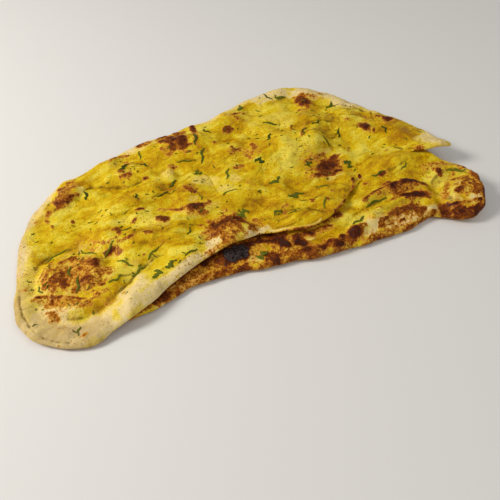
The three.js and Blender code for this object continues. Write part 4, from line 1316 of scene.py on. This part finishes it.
class Graph:
    """A material's node tree, with one method that adds any node."""

    def __init__(self, name: str) -> None:
        """Start an empty node material.

        Args:
            name: The material's name.
        """
        self.material = bpy.data.materials.new(name)
        self.material.use_nodes = True
        self.tree = self.material.node_tree
        self.tree.nodes.clear()

    def add(self, kind: str, settings: dict[str, Any] | None = None,
            **inputs: Any) -> bpy.types.Node:
        """Add a node.

        Args:
            kind: The node's type.
            settings: Its own settings, set before its sockets.
            **inputs: Values or links, by socket name with spaces as underscores, or by
                place as in_0.

        Returns:
            The node.
        """
        node = self.tree.nodes.new(kind)
        for key, value in (settings or {}).items():
            setattr(node, key, value)
        for key, value in inputs.items():
            socket = (node.inputs[int(key[3:])] if key.startswith("in_")
                      else node.inputs[key.replace("_", " ")])
            if isinstance(value, Value):
                self.tree.links.new(value.socket, socket)
            elif isinstance(value, bpy.types.NodeSocket):
                self.tree.links.new(value, socket)
            else:
                socket.default_value = value
        return node

    def trait(self, name: str) -> "Value":
        """Read a number stored on the mesh."""
        node = self.add("ShaderNodeAttribute", {"attribute_name": name})
        return Value(self, node.outputs["Fac"])

    def place(self) -> bpy.types.NodeSocket:
        """Read the Object coordinates."""
        return self.add("ShaderNodeTexCoord").outputs["Object"]

    def stretched(self, scale: tuple[float, float, float]) -> bpy.types.NodeSocket:
        """Object coordinates times a scale along each axis."""
        settings = {"operation": "MULTIPLY"}
        return self.add("ShaderNodeVectorMath", settings, in_0=self.place(), in_1=scale).outputs[0]

    def noise(self, speckle: Speckle, where: bpy.types.NodeSocket | None = None) -> "Value":
        """Add a noise.

        Args:
            speckle: Its size and character.
            where: What it reads, the Object coordinates if nothing else.

        Returns:
            The noise, from about 0 to 1.
        """
        node = self.add("ShaderNodeTexNoise", None, Vector=where or self.place(),
                        Scale=1.0 / (speckle.size * MM), Detail=speckle.detail,
                        Roughness=speckle.rough, Distortion=speckle.warp)
        return Value(self, node.outputs["Fac"])

    def mix(self, first: Any, second: Any, share: Any) -> bpy.types.NodeSocket:
        """Mix two colours by a share.

        Args:
            first: The colour or socket at a share of 0.
            second: The one at a share of 1.
            share: A number or a value.

        Returns:
            The mixed colour.
        """
        first, second = ((*colour, 1.0) if isinstance(colour, tuple) else colour
                         for colour in (first, second))
        node = self.add("ShaderNodeMix", {"data_type": "RGBA"}, in_0=share, in_6=first, in_7=second)
        return node.outputs[2]

    def over(self, base: Any, level: "Value", steps: Sequence[Step]) -> Any:
        """Lay colours over a base, each eased in from its low to its high level.

        Args:
            base: The colour underneath.
            level: What the steps are measured on.
            steps: Each colour with its two levels.

        Returns:
            The colour on top.
        """
        for colour, low, high in steps:
            base = self.mix(base, colour, level.ease(low, high))
        return base

    def finish(self, **inputs: Any) -> bpy.types.Material:
        """Set the shader's sockets and link it to the output.

        Args:
            **inputs: Values or links, as for any node.

        Returns:
            The finished material.
        """
        shader = self.add("ShaderNodeBsdfPrincipled", None, **inputs)
        self.add("ShaderNodeOutputMaterial", None, Surface=shader.outputs[0])
        return self.material


@dataclass
class Value:
    """A socket of numbers; arithmetic on it adds Math nodes."""
    graph: Graph
    socket: bpy.types.NodeSocket

    def math(self, operation: str, first: Any, second: Any) -> "Value":
        """Add one Math node."""
        node = self.graph.add("ShaderNodeMath", {"operation": operation}, in_0=first, in_1=second)
        return Value(self.graph, node.outputs[0])

    def __add__(self, other: Any) -> "Value":
        """Sum."""
        return self.math("ADD", self, other)

    __radd__ = __add__

    def __sub__(self, other: Any) -> "Value":
        """Difference."""
        return self.math("SUBTRACT", self, other)

    def __rsub__(self, other: Any) -> "Value":
        """Difference from a number."""
        return self.math("SUBTRACT", other, self)

    def __mul__(self, other: Any) -> "Value":
        """Product."""
        return self.math("MULTIPLY", self, other)

    __rmul__ = __mul__

    def most(self, other: Any) -> "Value":
        """The greater of two."""
        return self.math("MAXIMUM", self, other)

    def about(self, weight: float) -> "Value":
        """Centre a noise on 0 and weigh it."""
        return (self - 0.5) * weight

    def ease(self, low: float, high: float) -> "Value":
        """Ease from 0 to 1.

        Args:
            low: Where it starts.
            high: Where it ends.

        Returns:
            The eased value.
        """
        node = self.graph.add("ShaderNodeMapRange", {"interpolation_type": "SMOOTHSTEP"},
                              Value=self, From_Min=low, From_Max=high)
        return Value(self.graph, node.outputs[0])


@dataclass(frozen=True)
class Unevenness:
    """The noises that all of the bread's colours share, from fine to broad."""
    grain: Value
    specks: Value
    mottle: Value
    patches: Value
    broad: Value


@dataclass(frozen=True)
class BakedBread:
    """The bread's finish: cream dough, yellow butter, toasting from golden to charred, and painted shade
    and shadow in valleys, round the left end and under the flap's edge.
    """
    flour: Colour = srgb(234, 208, 146)
    dough: Colour = srgb(236, 206, 98)
    pale: Colour = srgb(232, 210, 72)
    shaded_dough: Colour = srgb(190, 160, 104)
    lemon: Colour = srgb(220, 188, 18)
    butter: Colour = srgb(202, 156, 0)
    amber: Colour = srgb(168, 118, 0)
    olive: Colour = srgb(104, 80, 2)
    golden: Colour = srgb(214, 154, 48)
    orange: Colour = srgb(174, 106, 20)
    brown: Colour = srgb(122, 58, 12)
    dark: Colour = srgb(72, 28, 8)
    char: Colour = srgb(68, 58, 56)
    soot: Colour = srgb(26, 20, 18)
    grain: Speckle = Speckle(0.9, 2, 0.5)
    specks: Speckle = Speckle(1.8, 2, 0.5)
    mottle: Speckle = Speckle(3.6, 4, 0.7)
    patches: Speckle = Speckle(11, 4, 0.58, 0.8)
    broad: Speckle = Speckle(28, 4, 0.55, 1.2)
    drawn_out: tuple[float, float, float] = (0.55, 1.0, 1.0)
    stains: Speckle = Speckle(4, 3, 0.6)
    drops: Speckle = Speckle(2.6, 3, 0.6)
    gaps: Speckle = Speckle(7, 3, 0.6)
    bits: Speckle = Speckle(1.3, 2, 0.6)
    bit_groups: Speckle = Speckle(16, 3, 0.6)
    blotches: Speckle = Speckle(7, 3, 0.55, 0.6)
    flecks: Speckle = Speckle(1.5, 2, 0.5)
    fleck_groups: Speckle = Speckle(20, 3, 0.5)
    cracks: Speckle = Speckle(2.4, 4, 0.75)
    tooth: Speckle = Speckle(0.6, 2, 0.5)
    butter_level: float = 0.385
    bump_strength: float = 0.9
    bump_height: float = 0.7
    bare_roughness: float = 0.45
    butter_coat: float = 0.08
    coat_roughness: float = 0.25
    specular: float = 0.07

    def unevenness(self, g: Graph) -> Unevenness:
        """Add the noises that the colours share.

        Args:
            g: The material's graph.

        Returns:
            The noises.
        """
        drawn = g.stretched(self.drawn_out)
        return Unevenness(g.noise(self.grain), g.noise(self.specks), g.noise(self.mottle),
                          g.noise(self.patches, drawn), g.noise(self.broad, drawn))

    def buttered(self, g: Graph, noise: Unevenness) -> bpy.types.NodeSocket:
        """Butter, pale where thin, and amber where it lies deep and where shade is painted.

        Args:
            g: The material's graph.
            noise: The shared noises.

        Returns:
            The colour.
        """
        # Painted shade: the deep butter marks also darken valleys and the tip's shaded side towards
        # amber
        depth = (noise.broad.about(1.9) + noise.patches.about(1.7) + noise.mottle.about(1.2)
                 + noise.grain.about(0.5) + g.trait("pool_and_shade") * 0.34 - g.trait("high") * 0.08
                 + self.butter_level)
        return g.over(self.pale, depth, (
            (self.lemon, -0.1, 0.3), (self.butter, 0.26, 0.62), (self.amber, 0.6, 1.0)))

    def dried(self, g: Graph, noise: Unevenness) -> tuple[Value, bpy.types.NodeSocket]:
        """Dry dough where little butter lies, stained with it here and there.

        Args:
            g: The material's graph.
            noise: The shared noises.

        Returns:
            How dry each place is, and the dough's colour.
        """
        dry, rim, under = (g.trait(name) for name in ("dry", "rim", "under"))
        uneven = noise.mottle.about(1.1) + noise.patches.about(0.9) + noise.grain.about(0.4)
        dryness = (dry * 1.1 + rim * 0.85 + uneven).ease(0.3, 0.9).most(under)
        floury = (rim + dry * 2 - 1.5 + uneven).ease(0.0, 0.6).most(under)
        dough = g.mix(self.dough, self.flour, floury)
        dough = g.mix(dough, self.pale, g.noise(self.stains).ease(0.53, 0.66) * 0.5)
        return dryness, g.mix(dough, self.lemon, g.noise(self.drops).ease(0.57, 0.67) * 0.6)

    def shaded_and_flecked(self, g: Graph, base: bpy.types.NodeSocket, noise: Unevenness
                ) -> bpy.types.NodeSocket:
        """Paint shade on the bare dough round the left end and along the creases and wrinkles, and
        darken small bits of leaf.

        Args:
            g: The material's graph.
            base: The colour underneath.
            noise: The shared noises.

        Returns:
            The colour on top.
        """
        # Painted shade: the bare dough round the left end is darkened towards a greyer cream
        base = g.mix(base, self.shaded_dough, g.trait("end_shade") * (0.8 + noise.mottle.about(0.8)))
        # Painted shade: olive along the creases and wrinkles, broken up by noise
        broken = g.noise(self.gaps).ease(0.34, 0.56) * 0.6 + 0.2
        base = g.mix(base, self.olive, g.trait("crease_shade").ease(0.2, 0.7) * broken)
        bits = g.noise(self.bits).ease(0.59, 0.67) * g.noise(self.bit_groups).ease(0.42, 0.58)
        return g.mix(base, self.olive, bits * 0.7)

    def toasted_and_shadowed(self, g: Graph, base: bpy.types.NodeSocket, noise: Unevenness
                ) -> tuple[bpy.types.NodeSocket, Value]:
        """Toast, from golden over orange and brown to char, blotched and flecked; the same levels paint
        the shadow under the flap's front edge.

        Args:
            g: The material's graph.
            base: The colour underneath.
            noise: The shared noises.

        Returns:
            The colour on top, and how browned each place is by toasting and painted shadow.
        """
        toast_and_shadow = g.trait("toast_and_shadow")
        near = toast_and_shadow.ease(0.02, 0.3)
        blotched = (g.noise(self.blotches).about(2.2) + noise.mottle.about(1.3)
                    + noise.specks.about(0.8) + noise.grain.about(0.4))
        groups = g.noise(self.fleck_groups).ease(0.44, 0.6) * 0.6 + near * 0.5
        level = (toast_and_shadow + blotched * near * (1.0 - toast_and_shadow * 0.55) * 0.85
                 + g.noise(self.flecks).ease(0.6, 0.68) * groups)
        base = g.mix(base, self.golden, level.ease(0.04, 0.34).most(toast_and_shadow.ease(0.2, 0.5)) * 0.85)
        base = g.over(base, level, (
            (self.orange, 0.24, 0.5), (self.brown, 0.44, 0.78), (self.dark, 0.72, 1.05)))
        charred = g.mix(self.char, self.soot, g.noise(self.cracks).ease(0.44, 0.58))
        return g.mix(base, charred, level.ease(1.16, 1.34)), level

    def build(self) -> bpy.types.Material:
        """Build the finish.

        Returns:
            The material, which reads all of a layer's traits.
        """
        g = Graph(Slot.BREAD.value)
        noise = self.unevenness(g)
        dryness, dough = self.dried(g, noise)
        base = self.shaded_and_flecked(g, g.mix(self.buttered(g, noise), dough, dryness), noise)
        base, toast_and_shadow = self.toasted_and_shadowed(g, base, noise)
        tooth = (noise.mottle * 0.5 + noise.grain * 0.4 + noise.specks * 0.35
                 + g.noise(self.tooth) * 0.15)
        bump = g.add("ShaderNodeBump", None, Strength=self.bump_strength,
                     Distance=self.bump_height * MM, Height=tooth)
        rough = (self.bare_roughness + dryness * 0.25 + toast_and_shadow.ease(0.3, 0.8) * 0.12
                 + noise.mottle.about(0.14))
        coat = (1 - dryness) * (1 - toast_and_shadow.ease(0.4, 0.9) * 0.7) * self.butter_coat
        return g.finish(Base_Color=base, Roughness=rough, Normal=bump.outputs[0],
                        Coat_Weight=coat, Coat_Roughness=self.coat_roughness,
                        Specular_IOR_Level=self.specular)


@dataclass(frozen=True)
class CorianderFinish:
    """Dark green shredded leaf, moist from the butter."""
    leaf: Colour = srgb(78, 88, 24)
    shade: Colour = srgb(36, 46, 14)
    stem: Colour = srgb(124, 126, 30)
    tone: Speckle = Speckle(1.8, 4, 0.7)
    veins: Speckle = Speckle(0.8, 3, 0.5)
    vein_strength: float = 0.4
    vein_height: float = 0.2
    roughness: float = 0.55
    specular: float = 0.06

    def build(self) -> bpy.types.Material:
        """Build the finish: leaf to shade by noise, lighter by the trait stem.

        Returns:
            The material.
        """
        g = Graph(Slot.CORIANDER.value)
        green = g.mix(self.leaf, self.shade, g.noise(self.tone).ease(0.38, 0.62))
        green = g.mix(green, self.stem, g.trait("stem") * 0.7)
        veins = g.add("ShaderNodeBump", None, Strength=self.vein_strength,
                      Distance=self.vein_height * MM, Height=g.noise(self.veins))
        return g.finish(Base_Color=green, Roughness=self.roughness, Normal=veins.outputs[0],
                        Specular_IOR_Level=self.specular)


@dataclass(frozen=True)
class Shred:
    """A shred of coriander: its place in mm, heading and bend in degrees, and its size."""
    x: float
    y: float
    heading: float
    length: float
    width: float
    bend: float


PLACED_SHREDS: tuple[Shred, ...] = (
    Shred(-152, -62, 75, 14, 2.6, 20), Shred(-156, -46, 80, 13, 2.4, -16),
    Shred(-180, -54, -80, 9, 2.2, 20), Shred(-139, -30, -50, 18, 2.4, 30),
    Shred(-164, -20, 25, 20, 1.8, -30), Shred(-125, -69, 20, 12, 2.4, 30),
    Shred(-107, -66, 25, 13, 2.4, -24), Shred(-92, -54, 35, 14, 1.8, -18),
    Shred(-95, -77, 60, 11, 4, 50), Shred(-83, -74, 20, 10, 4.2, 60), Shred(-65, -68, 20, 12, 2.2, 16),
    Shred(-58, -42, 60, 11, 1.8, 10), Shred(-66, 8, 15, 13, 1.8, 50), Shred(-87, 12, 88, 10, 2.6, 10),
    Shred(-126, 37, 85, 11, 3, 12), Shred(-87, 58, 45, 13, 3.6, 14), Shred(-69, 53, -60, 10, 2.8, 20),
    Shred(-16, 65, 75, 16, 3, 14), Shred(-17, 44, 65, 19, 2.8, -24), Shred(-34, 43, -15, 14, 1.8, 20),
    Shred(-28, 25, -60, 8, 4.2, 30), Shred(-5, 11, 65, 12, 2.8, -14), Shred(-12, -12, 5, 12, 1.8, 20),
    Shred(-36, -8, 88, 8, 1.8, 10), Shred(-10, -38, 10, 11, 4.6, 30), Shred(-160, -101, 70, 9, 2, 10),
    Shred(42, 97, 60, 10, 3.4, 20), Shred(85, 97, -20, 12, 3.2, 120), Shred(59, 62, -50, 15, 3.2, 16),
    Shred(127, 68, 30, 10, 3.2, 20), Shred(48, 40, 55, 11, 2.8, 20), Shred(80, 33, 45, 13, 2.2, -20),
    Shred(97, 39, 20, 11, 2.2, 60), Shred(114, 25, 65, 12, 2.6, 10), Shred(28, 15, -40, 9, 4.2, 20),
    Shred(154, 9, 88, 10, 2.4, 20), Shred(68, -3, 20, 8, 4.4, 30), Shred(102, -16, -60, 9, 4.2, 30),
    Shred(31, -13, 10, 12, 3.4, 30), Shred(40, -36, 10, 15, 4.6, 40), Shred(57, -56, 60, 14, 2, 10),
    Shred(28, -56, 20, 11, 2, 60),
)
LOWER_SHREDS: tuple[Shred, ...] = (
    Shred(118, -41, -4, 13, 2.6, 14), Shred(100, -68, 12, 24, 2, -12), Shred(76, -82, 20, 15, 3.2, 20),
    Shred(-12, -84, 15, 11, 4.2, 50), Shred(182, -66, -30, 15, 2, 40), Shred(142, -44, 30, 9, 1.8, 10),
)


@dataclass(frozen=True)
class Ripple:
    """A sine along the strips of leaf: its share and its pace.

    Each strip's number and the side of its spine move where the sine starts.
    """
    share: float
    pace: float
    by_number: float
    by_side: float = 0.0

    def at(self, along: Array, number: Array, side: Array | float = 0.0) -> Array:
        """The sine at shares of the length from the middle."""
        start = number * self.by_number + side * self.by_side
        return self.share * np.sin(along * self.pace + start)


@dataclass(frozen=True)
class Leaf:
    """How wide a strip of leaf is along its length, in mm."""
    ripples: tuple[Ripple, ...] = (Ripple(1.0, 15, 1.7, 1.0), Ripple(0.7, 29, 2.9, -2.0))
    least_ripple: float = 0.16
    wide_ripple: float = 0.3
    ripple_from: float = 2.3
    slim_share: float = 0.66
    slim_until: float = 2.4
    width_range: float = 1.4
    end_share: float = 0.2
    end_power: float = 0.7
    least: float = 0.22

    def half_width(self, along: Array, side: Array, number: Array, width: Array) -> Array:
        """Half the width, which narrows to the ends by a cosine and ripples by two sines.

        Thin strips are slimmer than their width says, and wide leaves ripple most.

        Args:
            along: Shares of the length from the middle.
            side: The side of the spine, -1 or 1, or 0 on it.
            number: Each strip's number.
            width: Each strip's width.

        Returns:
            The half width, no less than the least.
        """
        ripple = sum(wave.at(along, number, side) for wave in self.ripples)
        lobes = (self.least_ripple
                 + self.wide_ripple * smooth((width - self.ripple_from) / self.width_range))
        slim = (self.slim_share + (1 - self.slim_share)
                * smooth((width - self.slim_until) / self.width_range))
        narrowing = (self.end_share
                     + (1 - self.end_share) * np.cos(math.pi * along) ** self.end_power)
        return np.clip(width / 2 * slim * narrowing * (1 + lobes * ripple), self.least, None)


@dataclass
class Coriander:
    """The shreds that lie on the bread, as one piece of joined leaf strips."""
    RULE_FACTOR: ClassVar[int] = 16807
    RULE_CYCLE: ClassVar[int] = 2147483647
    scattered: int = 10
    seed: int = 20
    area: tuple[tuple[float, float], tuple[float, float]] = ((-195, 195), (-110, 110))
    headings: tuple[float, float] = (-90, 90)
    lengths: tuple[float, float] = (8, 14)
    widths: tuple[float, float] = (1.7, 2.8)
    bends: tuple[float, float] = (-50, 50)
    clearance: float = 12.0
    flecks: int = 170
    fleck_tries: int = 4
    fleck_area: tuple[tuple[float, float], tuple[float, float]] = ((-190, -105), (190, 108))
    fleck_lengths: tuple[float, float] = (1.2, 4.0)
    fleck_widths: tuple[float, float] = (0.6, 1.3)
    fleck_bends: tuple[float, float] = (-60, 60)
    fleck_clearance: float = 8.0
    stretch_steps: int = 20
    cross_steps: int = 4
    leaf: Leaf = Leaf()
    wave: Ripple = Ripple(0.3, 8, 2.1)
    lift: float = 0.1
    edge_lift: float = 0.15
    humps: Ripple = Ripple(0.25, 7, 2.3)
    sink: float = 0.1
    depth: float = 0.5
    thickness: float = 0.3
    stem_width: float = 1.6
    stem_share: float = 0.3
    tone_share: float = 0.45
    tone_step: float = 12.9

    def scatter(self) -> list[Shred]:
        """Lay the loose shreds by the same seeded rule as the solid.

        Returns:
            The placed and the loose shreds of the flap.
        """
        state = self.seed

        def between(low: float, high: float) -> float:
            """Draw the rule's next number.

            Args:
                low: The least it may be.
                high: The most.

            Returns:
                The number.
            """
            nonlocal state
            state = (state * self.RULE_FACTOR) % self.RULE_CYCLE
            return low + (high - low) * state / self.RULE_CYCLE

        spans = (*self.area, self.headings, self.lengths, self.widths, self.bends)
        laid = list(PLACED_SHREDS)
        while len(laid) < len(PLACED_SHREDS) + self.scattered:
            shred = Shred(*(between(*span) for span in spans))
            clear = all(math.hypot(other.x - shred.x, other.y - shred.y) > self.clearance
                        for other in laid)
            place = np.array([shred.x]), np.array([shred.y])
            if clear and depth_inside(*place, FLAP_RING)[0] > self.clearance:
                laid.append(shred)
        return laid

    def small_flecks(self) -> list[Shred]:
        """Lay chopped bits over the flap, drawn from one seed.

        Returns:
            The bits.
        """
        draw = np.random.default_rng(self.seed)
        spots = draw.uniform(*self.fleck_area, (self.flecks * self.fleck_tries, 2))
        clear = depth_inside(spots[:, 0], spots[:, 1], FLAP_RING) > self.fleck_clearance
        return [Shred(x, y, draw.uniform(*self.headings), draw.uniform(*self.fleck_lengths),
                      draw.uniform(*self.fleck_widths), draw.uniform(*self.fleck_bends))
                for x, y in spots[clear][:self.flecks]]

    def tones(self, width: Array, number: Array) -> Array:
        """How pale each strip is: thin ones are pale stems, and the rest differ."""
        return (self.stem_share * smooth(self.stem_width - width)
                + self.tone_share * (1 + np.sin(number * self.tone_step)))

    def faces(self, shape: tuple[int, ...]) -> list[Array]:
        """Join the points of the strips by faces of four corners or a strip's end.

        Args:
            shape: The number of strips, of faces, and of points along and across.

        Returns:
            The faces round the strips, at their near ends and at their far ends.
        """
        ids = np.arange(math.prod(shape)).reshape(shape)
        ring = np.concatenate([ids[:, 0], ids[:, 1][..., ::-1]], -1)
        around = np.concatenate([ring, ring[..., :1]], -1)
        wall = np.stack([around[:, :-1, :-1], around[:, 1:, :-1],
                         around[:, 1:, 1:], around[:, :-1, 1:]], -1)
        return [wall.reshape(-1, 4), ring[:, 0], ring[:, -1][:, ::-1]]

    def strips(self, shreds: Sequence[Shred], surface: Height, ground: Height) -> Shell:
        """Work out all the strips of one surface at once.

        A strip's spine is an arc about its middle with a small wave.

        Args:
            shreds: The strips.
            surface: The height of the bread at a place.
            ground: The fine relief of the bread at a place.

        Returns:
            The closed strips in one shell.
        """
        sizes = np.array([[s.x, s.y, s.heading, s.length, s.width, s.bend] for s in shreds])
        x, y, heading, length, width, bend = (column[:, None, None] for column in sizes.T)
        number = np.arange(len(shreds))[:, None, None]
        along = np.linspace(-0.5, 0.5, self.stretch_steps + 1)[None, :, None]
        across = np.linspace(-1, 1, self.cross_steps + 1)[None, None, :]
        half = self.leaf.half_width(along, np.sign(across), number, width)
        off = across * half + width * self.wave.at(along, number)
        turn = np.radians(heading + bend * along)
        lean = np.radians(heading + bend * along / 2)
        x = x + length * along * np.cos(lean) - off * np.sin(turn)
        y = y + length * along * np.sin(lean) + off * np.cos(turn)
        base = surface(x, y) + ground(x, y) - self.sink
        lift = self.lift + self.edge_lift * across ** 2 + np.abs(self.humps.at(along, number))
        top = base + lift + self.thickness
        low = np.minimum(base - self.depth, top - self.thickness)
        points = np.stack([np.stack([x, y, height], -1) for height in (top, low)], 1)
        tones = np.broadcast_to(self.tones(width, number)[:, None], points.shape[:-1])
        return Shell(points.reshape(-1, 3) - (MIDDLE_X, MIDDLE_Y, 0),
                     self.faces(points.shape[:-1]), {"stem": tones.reshape(-1)})

    def build(self, material: bpy.types.Material, skins: tuple[Skin, Skin]) -> bpy.types.Object:
        """Make the coriander's piece and join it to the frame.

        Args:
            material: The coriander's finish.
            skins: The flap's skin and the lower layer's.

        Returns:
            The piece.
        """
        flap = self.strips(self.scatter() + self.small_flecks(), DOUGH.flap_top, skins[0].relief)
        lower = self.strips(LOWER_SHREDS, DOUGH.lower_top, skins[1].relief)
        shift = len(flap.points)
        whole = Shell(np.vstack([flap.points, lower.points]),
                      flap.faces + [block + shift for block in lower.faces],
                      {"stem": np.concatenate([flap.traits["stem"], lower.traits["stem"]])})
        piece = make_object("coriander_shreds", whole, material)
        join_to_frame(piece)
        return piece


@dataclass
class Bread:
    """The naan: its flap, its lower layer and the coriander."""
    flap_skin: Skin = Skin(FLAP_TOAST, FLAP_DRY, FLAP_POOLS_AND_SHADE, FLAP_THIN, FLAP_CREASES, FLAP_END_SHADE)
    lower_skin: Skin = Skin(LOWER_TOAST_AND_SHADOW, LOWER_DRY, LOWER_POOLS, LOWER_THIN, LOWER_CREASES)
    flap_rim: PaleRim = PaleRim(
        ((-200, 0.8), (-130, 1), (-50, 1), (-38, 0.3), (-22, 0.5), (4, 0.6), (10, 0.1), (150, 0),
         (172, 0.6), (200, 1)),
        ((-200, 0.9), (-150, 0.8), (-132, 0.3), (-100, 0.6), (-72, 0.6), (-62, 0.2), (-15, 0.1),
         (10, 0.7), (150, 1), (165, 0.7), (180, 0.6), (200, 1)), FLAP_FRONT, FLAP_BACK)
    lower_rim: PaleRim = PaleRim(
        ((-140, 0), (80, 0.2), (130, 0.5), (150, 0), (200, 0)),
        ((-140, 0), (170, 0.2), (190, 0.4), (200, 0.2)), *LOWER_OUTLINE.sides())
    rim: tuple[float, ...] = rim_steps(6)
    under_rim: tuple[float, ...] = rim_steps(5)

    def build(self) -> list[bpy.types.Object]:
        """Build the layers and the coriander.

        Returns:
            The three pieces.
        """
        under_rows = Rows(self.under_rim, self.under_rim, middle=34)
        flap = BreadLayer(
            "naan_flap", FLAP_OUTLINE, columns=460,
            top_rows=Rows(self.rim, self.rim, middle=140), under_rows=under_rows,
            skin=self.flap_skin, forms=FLAP_FORMS,
            heights=(DOUGH.flap_top, DOUGH.flap_under), rim=self.flap_rim)
        lower = BreadLayer(
            "naan_lower_layer", LOWER_OUTLINE, columns=420,
            top_rows=Rows(self.rim, self.rim, middle=118, crowding=1.4), under_rows=under_rows,
            skin=self.lower_skin, forms=LOWER_FORMS,
            heights=(DOUGH.lower_top, DOUGH.table_face), rim=self.lower_rim)
        bread = BakedBread().build()
        pieces = [layer.build(bread) for layer in (flap, lower)]
        coriander = Coriander().build(CorianderFinish().build(), (self.flap_skin, self.lower_skin))
        return [*pieces, coriander]


@dataclass(frozen=True)
class Lamp:
    """A square soft light that faces the bread, in degrees, m and W."""
    name: str
    azimuth: float
    elevation: float
    distance: float
    size: float
    power: float
    colour: Colour


@dataclass
class Studio:
    """A pale floor, soft light and the camera at the photograph's viewing angle."""
    azimuth: float = -22.5
    elevation: float = 48.0
    distance: float = 471.7
    aim: tuple[float, float, float] = (-16.9 - MIDDLE_X, -70.5 - MIDDLE_Y, 0.0)
    lens: float = 42.0
    sensor_width: float = 36.0
    clip: tuple[float, float] = (0.01, 20.0)
    floor_size: float = 6.0
    floor_colour: Colour = srgb(226, 224, 220)
    floor_roughness: float = 0.8
    lamps: tuple[Lamp, ...] = (Lamp("key", -105, 38, 1.3, 0.4, 13, (1.0, 0.97, 0.92)),
                               Lamp("fill", 40, 50, 1.6, 1.2, 3, (1.0, 1.0, 1.0)))
    sky: Colour = (1.0, 0.99, 0.97)
    sky_strength: float = 0.38

    def back(self, azimuth: float, elevation: float) -> Vector:
        """Work out the way from the bread to a viewer.

        Args:
            azimuth: The viewer's bearing in degrees, 0 in front and 90 at the right.
            elevation: The viewer's height in degrees.

        Returns:
            A vector of length 1.
        """
        bearing, rise = math.radians(azimuth), math.radians(elevation)
        return Vector((math.sin(bearing) * math.cos(rise), -math.cos(bearing) * math.cos(rise),
                       math.sin(rise)))

    def place(self, data: Any, back: Vector, location: Vector) -> bpy.types.Object:
        """Set up an object that looks back along a way.

        Args:
            data: The camera or lamp.
            back: The way behind it.
            location: Its place in m.

        Returns:
            The linked object.
        """
        placed = bpy.data.objects.new(data.name, data)
        placed.location = location
        placed.rotation_euler = back.to_track_quat("Z", "Y").to_euler()
        bpy.context.collection.objects.link(placed)
        return placed

    def camera(self) -> None:
        """Place the camera."""
        data = bpy.data.cameras.new("camera")
        data.lens = self.lens
        data.sensor_width = self.sensor_width
        data.clip_start, data.clip_end = self.clip
        back = self.back(self.azimuth, self.elevation)
        location = (Vector(self.aim) + back * self.distance) * MM
        bpy.context.scene.camera = self.place(data, back, location)

    def floor(self) -> None:
        """Lay the floor just under the bread."""
        half = self.floor_size / 2
        mesh = bpy.data.meshes.new("floor")
        mesh.from_pydata([(-half, -half, 0), (half, -half, 0), (half, half, 0), (-half, half, 0)],
                         [], [(0, 1, 2, 3)])
        mesh.materials.append(Graph("floor").finish(Base_Color=(*self.floor_colour, 1.0),
                                                    Roughness=self.floor_roughness))
        floor = bpy.data.objects.new("floor", mesh)
        bpy.context.collection.objects.link(floor)

    def light(self, lamp: Lamp) -> None:
        """Add a light that faces the bread.

        Args:
            lamp: Its place and strength.
        """
        data = bpy.data.lights.new(lamp.name, "AREA")
        data.size = lamp.size
        data.energy = lamp.power
        data.color = lamp.colour
        back = self.back(lamp.azimuth, lamp.elevation)
        self.place(data, back, back * lamp.distance)

    def build(self) -> None:
        """Set the floor, lights, sky and camera."""
        self.floor()
        for lamp in self.lamps:
            self.light(lamp)
        world = bpy.data.worlds.new("studio")
        world.use_nodes = True
        background = world.node_tree.nodes["Background"]
        background.inputs["Color"].default_value = (*self.sky, 1.0)
        background.inputs["Strength"].default_value = self.sky_strength
        bpy.context.scene.world = world
        bpy.context.scene.view_settings.view_transform = "Standard"
        self.camera()


def main() -> None:
    """Build the bread and the studio."""
    logging.basicConfig(level=logging.INFO, format="%(name)s: %(message)s")
    for piece in Bread().build():
        log.info("%s: %d points, %d faces", piece.name, len(piece.data.vertices),
                 len(piece.data.polygons))
    Studio().build()


if __name__ == "__main__":
    main()
